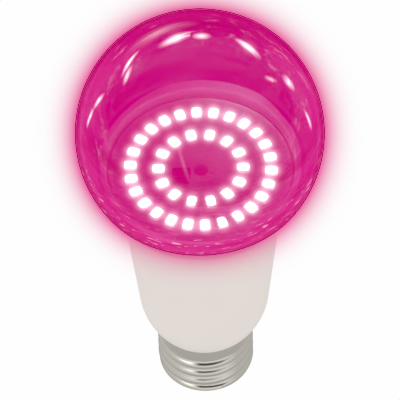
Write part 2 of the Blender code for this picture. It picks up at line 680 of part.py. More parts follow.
def led_leads():
    """Two insulated leads from the driver board's top, up through the heat sink into the connector."""
    plug_z = BOARD_TOP_Z + SEAT_GAP + LEAD_PLUG_DEPTH
    start_y = -(DRIVER_FACE_Y + SEAT_GAP + LEAD_R)
    span = SINK_PLATE_Z - DRIVER_TOP_Z
    leads = (("led_lead_positive", RED_WIRE), ("led_lead_negative", BLACK_WIRE))
    for (name, finish), (x, y) in zip(leads, lead_places()):
        route = [(x, start_y, DRIVER_TOP_Z - PAD_RUN), (x, start_y, DRIVER_TOP_Z),
                 (x, start_y + 0.4 * (y - start_y), DRIVER_TOP_Z + 0.35 * span),
                 (x, y, DRIVER_TOP_Z + 0.75 * span), (x, y, SINK_PLATE_Z), (x, y, plug_z)]
        wire(name, route, LEAD_R, finish)


for old in list(bpy.data.objects):
    bpy.data.objects.remove(old)

PARTS = scene_collection("led_bulb")
CUTTERS = scene_collection("cutters")

BRASS = material("nickel_plated_brass", (0.62, 0.58, 0.50), 0.3, metallic=1.0)
NICKEL = material("satin_nickel_sheet", (0.50, 0.47, 0.42), 0.32, metallic=1.0)
BLACK_GLASS = material("black_cap_glass", (0.02, 0.02, 0.02), 0.15)
WHITE_PLASTIC = material("white_pbt", (0.86, 0.85, 0.83), 0.42)
CLEAR_PLASTIC = material("clear_polycarbonate", (0.95, 0.45, 0.75), 0.04, alpha=0.3)
ALUMINIUM = material("drawn_aluminium", (0.80, 0.81, 0.82), 0.35, metallic=1.0)
WHITE_BOARD = material("white_solder_mask", (0.90, 0.90, 0.89), 0.45)
LED_WHITE = material("led_package_white", (0.95, 0.93, 0.88), 0.35)
DARK_PLASTIC = material("dark_connector_nylon", (0.08, 0.07, 0.08), 0.45)
GREEN_BOARD = material("green_fibreglass", (0.03, 0.22, 0.10), 0.45)
CAN_SLEEVE = material("can_sleeve", (0.05, 0.08, 0.25), 0.35)
FILM_YELLOW = material("film_capacitor_case", (0.75, 0.62, 0.12), 0.4)
TAPE = material("coil_tape", (0.72, 0.60, 0.15), 0.45)
CHIP_BLACK = material("chip_epoxy", (0.03, 0.03, 0.03), 0.5)
CERAMIC_BLUE = material("resistor_lacquer", (0.25, 0.45, 0.60), 0.4)
RED_WIRE = material("red_wire_pvc", (0.65, 0.04, 0.04), 0.4)
BLACK_WIRE = material("black_wire_pvc", (0.03, 0.03, 0.03), 0.4)
TINNED = material("tinned_copper", (0.72, 0.70, 0.66), 0.3, metallic=1.0)

centre_contact()
cap_insulator()
cap_shell()
body_housing()
heat_sink()
globe_cover()
led_board()
leds()
board_connector()
driver_board()
electrolytic_capacitor()
film_capacitor()
power_inductor()
chip("driver_ic", IC_SIZE, IC_PLACE, 4, IC_LEAD_PITCH, CHIP_BLACK)
chip("bridge_rectifier", BRIDGE_SIZE, BRIDGE_PLACE, 2, BRIDGE_LEAD_PITCH, CHIP_BLACK)
fuse_resistor()
supply_wires()
led_leads()
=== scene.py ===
# %% [markdown]
# # Dressing a screw-cap LED grow bulb
#
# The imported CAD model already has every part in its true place. This lesson puts the real finishes
# and the small detail on it: the clear tinted globe, the lit board with its two rings of LEDs, the
# moulded housing and the rolled nickel cap. Each step says what the piece is on the real bulb, how it
# could be made in Blender, and why one way was chosen.

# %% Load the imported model
import math
from functools import partial

import bmesh
import bpy
from mathutils import Matrix, Vector
from mathutils.geometry import interpolate_bezier


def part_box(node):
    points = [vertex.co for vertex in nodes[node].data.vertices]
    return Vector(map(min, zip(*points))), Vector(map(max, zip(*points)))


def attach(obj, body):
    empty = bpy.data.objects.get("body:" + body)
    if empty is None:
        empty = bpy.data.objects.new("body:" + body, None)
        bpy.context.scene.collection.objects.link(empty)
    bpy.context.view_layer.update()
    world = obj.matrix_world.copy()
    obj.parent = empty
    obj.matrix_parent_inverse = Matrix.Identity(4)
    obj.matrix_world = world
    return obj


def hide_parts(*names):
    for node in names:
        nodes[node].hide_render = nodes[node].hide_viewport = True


MM = 0.001
TAU = 2 * math.pi

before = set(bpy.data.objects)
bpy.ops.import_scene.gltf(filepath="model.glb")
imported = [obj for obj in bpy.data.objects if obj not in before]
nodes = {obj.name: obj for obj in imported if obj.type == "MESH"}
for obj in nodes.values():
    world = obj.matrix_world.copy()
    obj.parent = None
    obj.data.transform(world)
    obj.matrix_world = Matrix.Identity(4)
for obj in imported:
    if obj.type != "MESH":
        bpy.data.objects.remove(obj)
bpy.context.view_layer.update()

# %% [markdown]
# ## The camera
#
# The photograph looks down on the bulb at about 52 degrees, from 1.25 m, through a long lens. The rings
# of LEDs are true circles, so the ellipses that they make in the picture gave this angle. The camera
# could use lens shift to place the bulb high in the frame, but a slight tilt does the same, and other
# views keep a clean lens. It is also rolled by a degree and a half, as much as the bulb leans in the
# photograph.

# %% Camera
CAMERA_DISTANCE = 1248.3 * MM
CAMERA_ELEVATION = math.radians(52.187)
CAMERA_ROLL = math.radians(-1.618)
PICTURE_SIDE = 400
FOCAL_PIXELS = 4733.8
AIM_RIGHT_PIXELS = -0.80
AIM_UP_PIXELS = -32.31


def make_camera():
    led_top = Vector((0, 0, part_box("led_outer_01")[1].z))
    back = Vector((0, -math.cos(CAMERA_ELEVATION), math.sin(CAMERA_ELEVATION)))
    level_up = Vector((0, math.sin(CAMERA_ELEVATION), math.cos(CAMERA_ELEVATION)))
    up = level_up * math.cos(CAMERA_ROLL) - Vector((1, 0, 0)) * math.sin(CAMERA_ROLL)
    right = up.cross(back)
    place = led_top + CAMERA_DISTANCE * back
    pixel = CAMERA_DISTANCE / FOCAL_PIXELS
    aim = led_top + pixel * (AIM_RIGHT_PIXELS * right + AIM_UP_PIXELS * up)
    back = (place - aim).normalized()
    right = up.cross(back).normalized()
    up = back.cross(right)
    camera = bpy.data.objects.new("camera", bpy.data.cameras.new("camera"))
    camera.matrix_world = Matrix.Translation(place) @ Matrix((right, up, back)).transposed().to_4x4()
    camera.data.sensor_width = 36.0
    camera.data.lens = FOCAL_PIXELS * camera.data.sensor_width / PICTURE_SIDE
    camera.data.clip_start = 0.05
    camera.data.clip_end = 60.0
    bpy.context.scene.collection.objects.link(camera)
    bpy.context.scene.camera = camera
    print("camera: lens", round(camera.data.lens, 1), "mm at", [round(v, 3) for v in place])


make_camera()

# %% [markdown]
# ## Small helpers
#
# Colours are written as the hex values that a colour picker shows, and one function turns them into
# the linear numbers that Blender mixes light with. One function adds any node to a material, with its
# settings and its links. A noise has about one blob to each unit of its scale, so each pattern's scale
# comes from the size of its grain in millimetres.

# %% Colour and node helpers
def linear_colour(tone):
    """Linear red, green, blue and alpha, from a hex value or from one plain grey."""
    if not isinstance(tone, str):
        return (tone, tone, tone, 1.0)
    values = [int(tone[i:i + 2], 16) / 255 for i in (1, 3, 5)]
    linear = [v / 12.92 if v <= 0.04045 else ((v + 0.055) / 1.055) ** 2.4 for v in values]
    return (*linear, 1.0)


def feed(socket, value):
    """Gives a socket a number, a hex colour, another socket's output, or the first output of a node."""
    if isinstance(value, bpy.types.Node):
        value = value.outputs[0]
    if isinstance(value, bpy.types.NodeSocket):
        socket.id_data.links.new(value, socket)
    else:
        socket.default_value = linear_colour(value) if isinstance(value, str) else value


def add_node(tree, kind, inputs=(), stops=(), **settings):
    """Adds a node with its settings. Its inputs are a dictionary of names or numbers, or a list in the order
    of its sockets: for a MapRange a value, the range it comes from and the range it goes to. Stops are the
    (position, tone) pairs of a colour ramp."""
    node = tree.nodes.new(kind)
    for name, value in settings.items():
        setattr(node, name, value)
    for name, value in inputs.items() if isinstance(inputs, dict) else enumerate(inputs):
        feed(node.inputs[name], value)
    if stops:
        row = node.color_ramp.elements
        for stop, (position, tone) in zip(row, (stops[0], stops[-1])):
            stop.position = position
            stop.color = linear_colour(tone)
        for position, tone in stops[1:-1]:
            row.new(position).color = linear_colour(tone)
    return node


def new_material(name):
    """A material, its shader, the object coordinates that its patterns read, and add_node for its tree."""
    made = bpy.data.materials.new(name)
    made.use_nodes = True
    add = partial(add_node, made.node_tree)
    return made, made.node_tree.nodes["Principled BSDF"], add("ShaderNodeTexCoord").outputs["Object"], add


def set_shader(shader, relief=None, **values):
    """Sets the shader's own sockets: base_color stands for Base Color, and so on. A relief is a height, the
    depth of its full range in metres, and a strength."""
    if relief:
        height, depth, strength = relief
        values["normal"] = add_node(shader.id_data, "ShaderNodeBump",
                                    {"Height": height, "Distance": depth, "Strength": strength})
    names = {name.replace(" ", "_").lower(): name for name in shader.inputs.keys()}
    for key, value in values.items():
        feed(shader.inputs[names[key]], value)


def per_metre(size_mm):
    return 1 / (size_mm * MM)


def grained(name, grain, relief, shades=(), cloud=None, **settings):
    """A finish with a fine grain, whose relief is a depth in millimetres and a strength. Its shades follow
    the grain, or a cloud of larger patches. Grain and cloud are a size in millimetres and a detail."""
    made, shader, place, add = new_material(name)
    noises = []
    for size_mm, detail in [grain, cloud] if cloud else [grain]:
        noises.append(add("ShaderNodeTexNoise", {"Vector": place, "Scale": per_metre(size_mm),
                                                 "Detail": detail}))
    if shades:
        settings["base_color"] = add("ShaderNodeValToRGB", noises[-1:], shades)
    set_shader(shader, relief=(noises[0], relief[0] * MM, relief[1]), **settings)
    return made


# %% [markdown]
# ## Making a piece
#
# A finished piece keeps its place in its mesh, rides on the imported model's body, and hides the CAD nodes
# that it stands for. A CAD node whose shape is right only gets a material. Blocks and Booleans are kept
# in two small functions, because several pieces need them.

# %% Piece helpers
def make_object(name, shape, finish=None):
    mesh = bpy.data.meshes.new(name)
    shape.to_mesh(mesh)
    shape.free()
    if finish:
        mesh.materials.append(finish)
    made = bpy.data.objects.new(name, mesh)
    bpy.context.scene.collection.objects.link(made)
    return made


def finish_piece(name, shape, finish, stands_for=()):
    piece = make_object(name, shape, finish)
    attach(piece, "root")
    if stands_for:
        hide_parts(*stands_for)
    print("%s: %d faces" % (name, len(piece.data.polygons)))
    return piece


def paint_nodes(finish, *names):
    """Gives CAD nodes their material. Their meshes stay as they are."""
    for name in names:
        mesh = nodes[name].data
        mesh.materials.clear()
        mesh.materials.append(finish)
    print("%s: on %d CAD nodes" % (finish.name, len(names)))


def add_block(shape, low, high, bevel=0.0):
    """A box from its lowest to its highest corner, with its edges rounded."""
    low, high = Vector(low), Vector(high)
    verts = bmesh.ops.create_cube(shape, size=1.0)["verts"]
    bmesh.ops.scale(shape, vec=high - low, verts=verts)
    bmesh.ops.translate(shape, vec=(low + high) / 2, verts=verts)
    if bevel:
        edges = list({edge for vert in verts for edge in vert.link_edges})
        bmesh.ops.bevel(shape, geom=edges, offset=bevel, offset_type="OFFSET", affect="EDGES", segments=2,
                        profile=0.5, material=-1)


def combine(shape, tool, operation):
    """Joins a second closed shape to the first, or cuts it away, and returns the result as a new shape."""
    scratch = [make_object("scratch", item) for item in (shape, tool)]
    base, cutter = scratch
    modifier = base.modifiers.new("combine", "BOOLEAN")
    modifier.object = cutter
    modifier.operation = operation
    modifier.solver = "EXACT"
    result = bmesh.new()
    result.from_object(base, bpy.context.evaluated_depsgraph_get())
    for item in scratch:
        mesh = item.data
        bpy.data.objects.remove(item)
        bpy.data.meshes.remove(mesh)
    return result


# %% [markdown]
# ## Turned pieces
#
# The globe, the housing and the cap are round. A lathe suits them: a half outline is drawn as edges in
# the XZ plane and spun once round Z. Straight stretches are extruded from the last point, and arcs are
# spun from it, so that every curve comes from an operator.

# %% Lathe helpers
ROUND_STEPS = 192
MERGE_DISTANCE = 0.001 * MM
SHARP_ANGLE = math.radians(35)


def start_line(shape, point):
    return shape.verts.new((point[0], 0, point[1]))


def line_to(shape, vert, *points):
    """Straight stretches from a vertex through (radius, height) points."""
    for r, z in points:
        grown = bmesh.ops.extrude_vert_indiv(shape, verts=[vert])["verts"][0]
        grown.co = (r, 0, z)
        vert = grown
    return vert


def arc_to(shape, vert, centre, angle, steps):
    """An arc round a (radius, height) centre. A positive angle turns from +X towards +Z."""
    made = bmesh.ops.spin(shape, geom=[vert], cent=(centre[0], 0, centre[1]), axis=(0, -1, 0), angle=angle,
                          steps=steps)
    return [item for item in made["geom_last"] if isinstance(item, bmesh.types.BMVert)][0]


def lathe(shape, steps=ROUND_STEPS):
    """Spins every drawn edge round Z and closes the poles."""
    bmesh.ops.spin(shape, geom=shape.verts[:] + shape.edges[:], cent=(0, 0, 0), axis=(0, 0, 1), angle=TAU,
                   steps=steps, use_merge=True)
    bmesh.ops.remove_doubles(shape, verts=shape.verts, dist=MERGE_DISTANCE)
    bmesh.ops.recalc_face_normals(shape, faces=shape.faces)


def smooth_shape(shape):
    for face in shape.faces:
        face.smooth = True
    for edge in shape.edges:
        if len(edge.link_faces) == 2 and edge.calc_face_angle(0.0) > SHARP_ANGLE:
            edge.smooth = False


# %% [markdown]
# ## The dye and the painted shade in the globe
#
# The globe is blown polycarbonate, dyed to a clear magenta. It passes red and blue light and stops green,
# so white things behind it look magenta, and twice as deep through two walls. The dye could be a volume,
# but a tint on a thin wall renders clean and fast. The dye lies in streaks. Painted shade darkens the tint
# high up at the back and in an arc low on the wall, for the dark room that the wall mirrors there. Each of
# these is a small group of nodes that reads the height on the globe and the bearing round it.

# %% Streaks of the dye, and the painted dark arc and back
GLOBE_R = 32.5 * MM
STREAK_SCALE = (per_metre(22.22), per_metre(22.22), per_metre(3.03))
CROWN_LOW = 116 * MM
CROWN_HIGH = 126 * MM
CROWN_STREAKS = 0.15
DYE_SHADES = ((0.42, "#30303F"), (0.58, "#578182"))
ARC_Z = 97 * MM
ARC_HALF = 4.0 * MM
ARC_CORE = 0.4 * ARC_HALF
ARC_DEPTH = 0.94
ARC_SHARE = ((-180, 0.0), (-115, 0.2), (-92, 1.0), (-22, 1.0), (2, 0.1), (38, 0.1), (54, 1.0), (86, 1.0),
             (110, 0.2), (179, 0.0))
BACK_NEAR = 5 * MM
BACK_FAR = 12 * MM
BACK_DARKENING = 0.84
BACK_LOW = 107.5 * MM
BACK_HIGH = 112 * MM


def tones_round(add, bearing, tones):
    """Greys set at bearings in degrees, from -180 to 180, and blended between them."""
    turn = add("ShaderNodeMapRange", [bearing, -math.pi, math.pi])
    stops = [((degrees + 180) / 360, grey) for degrees, grey in tones]
    return add("ShaderNodeValToRGB", [turn], stops)


def dye_streaks(add, place, height):
    """Streaks 22 mm long and 3 mm high, which fade at the crown, where the wall was stretched."""
    layers = add("ShaderNodeMapping", {"Vector": place, "Scale": STREAK_SCALE})
    flow = add("ShaderNodeTexNoise", {"Vector": layers, "Scale": 1.0, "Detail": 6.0, "Roughness": 0.72,
                                      "Distortion": 0.8})
    crown = add("ShaderNodeMapRange", [height, CROWN_LOW, CROWN_HIGH, 1.0, CROWN_STREAKS],
                interpolation_type="SMOOTHSTEP")
    centred = add("ShaderNodeMath", [flow, 0.5], operation="SUBTRACT")
    calmed = add("ShaderNodeMath", [centred, crown, 0.5], operation="MULTIPLY_ADD")
    return add("ShaderNodeValToRGB", [calmed], DYE_SHADES)


def painted_dark_arc(add, bearing, height):
    """How strong the painted dark arc is, a painted shade: 0 off it, and nearly 1 in its core at the left
    and the right.
    """
    above = add("ShaderNodeMath", [height, ARC_Z], operation="SUBTRACT")
    off_core = add("ShaderNodeMath", [above], operation="ABSOLUTE")
    core = add("ShaderNodeMapRange", [off_core, ARC_CORE, ARC_HALF, ARC_DEPTH, 0.0],
               interpolation_type="SMOOTHSTEP")
    share = tones_round(add, bearing, ARC_SHARE)
    return add("ShaderNodeMath", [core, share], operation="MULTIPLY")


def painted_dark_back(add, depth, height):
    """Painted shade high up at the back: the light let through is 1 in front and low down, and less high up
    behind.
    """
    behind = add("ShaderNodeMapRange", [depth, BACK_NEAR, BACK_FAR, 0.0, BACK_DARKENING])
    high = add("ShaderNodeMapRange", [height, BACK_LOW, BACK_HIGH])
    back_shade = add("ShaderNodeMath", [behind, high], operation="MULTIPLY")
    return add("ShaderNodeMath", [1.0, back_shade], operation="SUBTRACT")


# %% Painted glints in the globe
GLINT_SCALE = (per_metre(3.333), per_metre(0.8333), 1.0)
GLINT_TOP = 111 * MM
GLINT_FADE = 8 * MM
GLINT_PEAKS = (0.635, 0.7)
GLINT_FACING = (0.3, 0.65)
GLINT_LIGHT = 0.9


def painted_glints(add, bearing, height, facing):
    """Painted glints low on the wall: small spots of glow, which show where the eye looks along it. The
    globe is unrolled for them, so that they lie level all round."""
    around = add("ShaderNodeMath", [bearing, GLOBE_R], operation="MULTIPLY")
    unrolled = add("ShaderNodeCombineXYZ", [around, height])
    drawn_out = add("ShaderNodeMapping", {"Vector": unrolled, "Scale": GLINT_SCALE})
    glint_spots = add("ShaderNodeTexNoise", {"Vector": drawn_out, "Scale": 1.0, "Detail": 2.0,
                                         "Distortion": 0.5})
    glints = add("ShaderNodeMapRange", [glint_spots, *GLINT_PEAKS, 0.0, GLINT_LIGHT])
    glancing = add("ShaderNodeMapRange", [facing, *GLINT_FACING])
    low_down = add("ShaderNodeMapRange", [height, GLINT_TOP, GLINT_TOP - GLINT_FADE])
    for part in (glancing, low_down):
        glints = add("ShaderNodeMath", [glints, part], operation="MULTIPLY")
    return glints


# %% Finishes of the globe
POLYCARBONATE_IOR = 1.58
EDGE_ON = (0.58, 0.78)
EDGE_LIGHT = 0.08
# The veil's painted glow, brighter edge on, and the dark crimson of painted glow added on the dark arc.
VEIL_SHADES = ((0.35, "#ED0087"), (0.7, "#FF0097"))
ARC_PAINTED_GLOW = "#610027"
VEIL_STRENGTH = 0.54


def tinted_polycarbonate():
    """Polycarbonate, blown and polished: smooth, with slight waves. It looks darkest edge on, where the eye
    looks along the wall. Its emission is painted glow, a faint magenta veil for the LEDs' light scattered
    in the dye, with painted glints and a painted crimson glow on the dark arc. The colours of a Mix node
    are its inputs 6 and 7, and its output 2."""
    made, shader, place, add = new_material("tinted_polycarbonate")
    waves = add("ShaderNodeTexNoise", {"Vector": place, "Scale": per_metre(18.18), "Detail": 1.0,
                                       "Roughness": 0.4})
    spot = add("ShaderNodeSeparateXYZ", [place])
    depth, height = spot.outputs["Y"], spot.outputs["Z"]
    bearing = add("ShaderNodeMath", [spot.outputs["X"], depth], operation="ARCTAN2")
    facing = add("ShaderNodeLayerWeight", [0.5]).outputs["Facing"]
    arc = painted_dark_arc(add, bearing, height)
    off_arc = add("ShaderNodeMath", [1.0, arc], operation="SUBTRACT")
    light = add("ShaderNodeMapRange", [facing, *EDGE_ON, 1.0, EDGE_LIGHT])
    for part in (off_arc, painted_dark_back(add, depth, height)):
        light = add("ShaderNodeMath", [light, part], operation="MULTIPLY")
    # The tint let through: the dye's streaks, darker edge on, and times the painted shade of the arc and the
    # back.
    dye_and_shade = add("ShaderNodeMix", {0: 1.0, 6: dye_streaks(add, place, height), 7: light}, data_type="RGBA",
              blend_type="MULTIPLY").outputs[2]
    glints = add("ShaderNodeMath", [painted_glints(add, bearing, height, facing), off_arc],
                 operation="MULTIPLY")
    shine = add("ShaderNodeValToRGB", [facing], VEIL_SHADES)
    # Painted glints and the arc's painted glow are added to the veil's painted glow.
    for share, tone in ((1.0, glints), (arc, ARC_PAINTED_GLOW)):
        shine = add("ShaderNodeMix", {0: share, 6: shine, 7: tone}, data_type="RGBA",
                    blend_type="ADD").outputs[2]
    set_shader(shader, base_color=dye_and_shade, transmission_weight=1.0, roughness=0.015, ior=POLYCARBONATE_IOR,
               emission_color=shine, emission_strength=VEIL_STRENGTH, relief=(waves, 0.1 * MM, 0.3))
    return made


# The same plastic, blasted matt where it is welded to the housing: light scatters in it. Its emission is
# painted glow, standing in for the LEDs' light scattered in the frost.
frosted_collar = grained("frosted_weld_collar", (1.43, 3), (0.03, 0.4), base_color="#E9B9D2", roughness=0.5,
                         transmission_weight=0.3, ior=POLYCARBONATE_IOR, emission_color="#FFA0BC",
                         emission_strength=0.5)

# %% [markdown]
# ## The globe cover
#
# The cover's wall is 1.5 mm thick. It is one closed solid: ball outside, ball inside, and a collar below
# that drops into the housing's rim. A half ball and a disc would be quicker, but with a real wall the
# shader gives the thin dark edge and the doubled reflections for free. The shelf above the collar is
# frosted, and the frost reaches further out behind, where the weld shows through the wall.

# %% Globe cover
GLOBE_WALL = 1.5 * MM
JOINT_ANGLE = math.radians(24.8)
RIM_TOP = 92.6 * MM
SEAT_GAP = 0.3 * MM
COLLAR_DROP = 2.0 * MM
COLLAR_R = 26.6 * MM
COLLAR_BORE_R = 25.5 * MM
COLLAR_SHELF = 1.0 * MM
COLLAR_CHAMFER = 0.3 * MM
JOINT_Z = RIM_TOP + SEAT_GAP
JOINT_R = GLOBE_R * math.cos(JOINT_ANGLE)
GLOBE_Z = JOINT_Z + GLOBE_R * math.sin(JOINT_ANGLE)
FROST_R = 27.2 * MM
FROST_LEFT, FROST_LEFT_FADE = -50, 40
FROST_RIGHT, FROST_RIGHT_FADE = 58, 25
SHELF_RINGS = 5
OUTER_STEPS = 110
INNER_STEPS = 100


def smoothstep(t):
    t = min(max(t, 0.0), 1.0)
    return t * t * (3 - 2 * t)


def globe_cover():
    shape = bmesh.new()
    top = start_line(shape, (0, GLOBE_Z + GLOBE_R))
    joint = arc_to(shape, top, (0, GLOBE_Z), -(math.pi / 2 + JOINT_ANGLE), OUTER_STEPS)
    shelf_z = JOINT_Z + COLLAR_SHELF
    bore = GLOBE_R - GLOBE_WALL
    shelf_angle = math.asin((GLOBE_Z - shelf_z) / bore)
    shelf_r = bore * math.cos(shelf_angle)
    rings = [(FROST_R + (shelf_r - FROST_R) * i / SHELF_RINGS, shelf_z) for i in range(SHELF_RINGS + 1)]
    inner = line_to(shape, joint, (COLLAR_R, JOINT_Z), (COLLAR_R, JOINT_Z - COLLAR_DROP),
                    (COLLAR_BORE_R, JOINT_Z - COLLAR_DROP), (COLLAR_BORE_R, shelf_z - COLLAR_CHAMFER),
                    (COLLAR_BORE_R + COLLAR_CHAMFER, shelf_z), *rings)
    arc_to(shape, inner, (0, GLOBE_Z), math.pi / 2 + shelf_angle, INNER_STEPS)
    lathe(shape)
    smooth_shape(shape)
    for face in shape.faces:
        middle = face.calc_center_median()
        bearing = math.degrees(math.atan2(middle.x, middle.y))
        spread = smoothstep((bearing - FROST_LEFT) / FROST_LEFT_FADE)
        spread *= smoothstep((FROST_RIGHT - bearing) / FROST_RIGHT_FADE)
        frosted_r = FROST_R + (shelf_r - FROST_R) * spread
        if middle.z < shelf_z + 0.01 * MM and middle.xy.length < frosted_r:
            face.material_index = 1
    piece = finish_piece("globe_cover_clear", shape, tinted_polycarbonate(),
                         ["globe_cover"])
    piece.data.materials.append(frosted_collar)
    return piece


cover = globe_cover()

# %% [markdown]
# ## The housing
#
# Moulded white PBT, 1.8 mm thick: a rim that the globe sits on, a long slight taper, a rounded heel and
# a neck inside the cap. The surface is faintly matt, with the soft orange peel of a textured mould. Its
# inner line is the outer one moved in by the wall, so a change to the outside keeps the wall even.

# %% Housing
HOUSING_BOTTOM = 26.7 * MM
HOUSING_WALL = 1.8 * MM
SHOULDER_R = 13.4 * MM
HEEL_ARC_R = 21.7 * MM
HEEL_END = math.radians(36.8)
HEEL_STEPS = 16
TAPER = math.radians(5.31)
FLARE_H = 26.1 * MM
FLARE_BULGE = 0.4 * MM
FLARE_HANDLE = 0.35
FLARE_REACH = 0.33
FLARE_STEPS = 33
GROOVE_R = 26.9 * MM
GROOVE_Z = 90.6 * MM
RECESS_R = 25.3 * MM
SINK_SEAT_Z = 87.85 * MM
FLOOR_Z = 28.3 * MM
NECK_BAND_R = 12.5 * MM
NECK_BAND_H = 3.6 * MM
NECK_STEP = 0.5 * MM
NECK_R = 11.45 * MM
NECK_BORE_R = 9.8 * MM
NECK_BOTTOM = 14.0 * MM
RAIL_LOW = 36.0 * MM
RAIL_HIGH = 58.0 * MM
RAIL_HALF_WIDTH = 1.9 * MM
RAIL_SLOT_HALF = 0.8 * MM
RAIL_GRIP = 1.1 * MM
RAIL_BEVEL = 0.2 * MM


# Glass-filled PBT from a spark-eroded mould: warm white, softly matt.
white_pbt = grained("moulded_white_pbt", (0.556, 2), (0.03, 0.4), ((0.35, "#E2DAD4"), (0.65, "#E5DCD6")),
                    (22.22, 2), roughness=0.45, ior=1.5)


def housing_points():
    """The outer line from the rim down to the shoulder, as (radius, height)."""
    heel_r = SHOULDER_R - HEEL_ARC_R * math.cos(HEEL_END)
    heel_z = HOUSING_BOTTOM + HEEL_ARC_R * math.sin(HEEL_END)
    turns = [-TAPER - (HEEL_END - TAPER) * i / HEEL_STEPS for i in range(HEEL_STEPS + 1)]
    heel = [(heel_r + HEEL_ARC_R * math.cos(a), heel_z + HEEL_ARC_R * math.sin(a)) for a in turns]
    flare_z = RIM_TOP - FLARE_H
    flare_r = heel[0][0] + math.tan(TAPER) * (flare_z - heel[0][1])
    reach = JOINT_R - flare_r
    knots = [(JOINT_R, RIM_TOP), (flare_r + FLARE_REACH * reach, RIM_TOP - FLARE_HANDLE * FLARE_H),
             (flare_r + FLARE_BULGE, flare_z + FLARE_HANDLE * FLARE_H), (flare_r, flare_z)]
    flare = interpolate_bezier(*[Vector((r, 0, z)) for r, z in knots], FLARE_STEPS)
    return [(p.x, p.z) for p in flare] + heel


def inset_points(points, distance):
    moved = []
    for i, (r, z) in enumerate(points):
        before = points[max(i - 1, 0)]
        after = points[min(i + 1, len(points) - 1)]
        run = Vector((after[0] - before[0], after[1] - before[1])).normalized()
        moved.append((r + run.y * distance, z - run.x * distance))
    return moved


def driver_rails(outer):
    """Two upright slots inside the wall, for the long edges of the driver's board."""
    wall_middle = min(r for r, z in outer if RAIL_LOW < z < RAIL_HIGH) - HOUSING_WALL / 2
    board_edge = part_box("driver_board")[1].x
    shape = bmesh.new()
    for side in (-1, 1):
        for lip in (-1, 1):
            corners = [(side * (board_edge - RAIL_GRIP), lip * RAIL_SLOT_HALF, RAIL_LOW),
                       (side * wall_middle, lip * RAIL_HALF_WIDTH, RAIL_HIGH)]
            add_block(shape, [min(c) for c in zip(*corners)], [max(c) for c in zip(*corners)], RAIL_BEVEL)
    bmesh.ops.recalc_face_normals(shape, faces=shape.faces)
    return shape


def housing():
    outer = housing_points()
    inner = [p for p in inset_points(outer, HOUSING_WALL) if FLOOR_Z < p[1] < SINK_SEAT_Z]
    shape = bmesh.new()
    first = start_line(shape, outer[0])
    band_z = HOUSING_BOTTOM - NECK_BAND_H
    neck = [(NECK_BAND_R, HOUSING_BOTTOM), (NECK_BAND_R, band_z), (NECK_R, band_z - NECK_STEP),
            (NECK_R, NECK_BOTTOM), (NECK_BORE_R, NECK_BOTTOM), (NECK_BORE_R, FLOOR_Z)]
    seats = [(inner[0][0], SINK_SEAT_Z), (RECESS_R, SINK_SEAT_Z), (RECESS_R, GROOVE_Z), (GROOVE_R, GROOVE_Z),
             (GROOVE_R, RIM_TOP)]
    last = line_to(shape, first, *outer[1:], *neck, (inner[-1][0], FLOOR_Z), *inner[::-1], *seats)
    shape.edges.new((last, first))
    lathe(shape)
    shape = combine(shape, driver_rails(outer), "UNION")
    smooth_shape(shape)
    return finish_piece("housing_moulded", shape, white_pbt, ["body_housing"])


moulded_housing = housing()
moulded_housing.visible_glossy = False

# %% [markdown]
# ## The screw cap
#
# Thin nickel-plated brass, with the thread rolled in: seen from outside, each crest is a smooth hump and
# each groove a smooth valley, with no sharp edge. A tube of closely spaced rings is spun, then every
# vertex is moved in by the depth of the thread at its angle and height. Turning a profile along a helix
# would be shorter, but this way the thread can fade out at both ends. Solidify gives the sheet its
# thickness.

# %% Cap shell
SHELL_R = 13.1 * MM
SHELL_TOP = 26.4 * MM
SHELL_WALL = 0.3 * MM
SHELL_HEEL_R = 2.6 * MM
SHELL_HEEL_STEPS = 10
LIP_Z = 6.5 * MM
THREAD_PITCH = 3.629 * MM
THREAD_DEPTH = 1.05 * MM
THREAD_START_Z = 9.16 * MM
THREAD_TOP = 23.0 * MM
THREAD_BOTTOM = 7.7 * MM
THREAD_RUN_OUT = 2.0 * MM
SHELL_ROWS = 110


def worked_metal(name, tone, line_mm, upright, smoothest, roughest, strength):
    """A metal with the fine lines that its tool has left, and duller in them. The lines lie level where the
    scale upright is above 1, and stand where it is below."""
    made, shader, place, add = new_material(name)
    drawn_out = add("ShaderNodeMapping", {"Vector": place, "Scale": (1.0, 1.0, upright)})
    lines = add("ShaderNodeTexNoise", {"Vector": drawn_out, "Scale": per_metre(line_mm), "Detail": 3.0})
    dull = add("ShaderNodeMapRange", [lines, 0.0, 1.0, smoothest, roughest])
    set_shader(shader, base_color=tone, metallic=1.0, roughness=dull, relief=(lines, 0.01 * MM, strength))
    return made


def cap_shell(finish):
    shape = bmesh.new()
    lip = start_line(shape, (SHELL_R - SHELL_HEEL_R, LIP_Z))
    heel = arc_to(shape, lip, (SHELL_R - SHELL_HEEL_R, LIP_Z + SHELL_HEEL_R), math.pi / 2, SHELL_HEEL_STEPS)
    rise = SHELL_TOP - heel.co.z
    rows = [SHELL_TOP - rise * (1 - i / SHELL_ROWS) for i in range(1, SHELL_ROWS + 1)]
    line_to(shape, heel, *[(SHELL_R, z) for z in rows])
    lathe(shape)
    for vert in shape.verts:
        angle = math.atan2(vert.co.y, vert.co.x)
        turns = (vert.co.z - THREAD_START_Z) / THREAD_PITCH - angle / TAU
        fade = smoothstep((THREAD_TOP - vert.co.z) / THREAD_RUN_OUT)
        fade *= smoothstep((vert.co.z - THREAD_BOTTOM) / THREAD_RUN_OUT)
        depth = THREAD_DEPTH * fade * (0.5 - 0.5 * math.cos(TAU * turns))
        vert.co -= depth * Vector((math.cos(angle), math.sin(angle), 0))
    bmesh.ops.recalc_face_normals(shape, faces=shape.faces)
    bmesh.ops.solidify(shape, geom=shape.faces[:], thickness=SHELL_WALL)
    smooth_shape(shape)
    return finish_piece("cap_shell_rolled", shape, finish, ["cap_shell"])


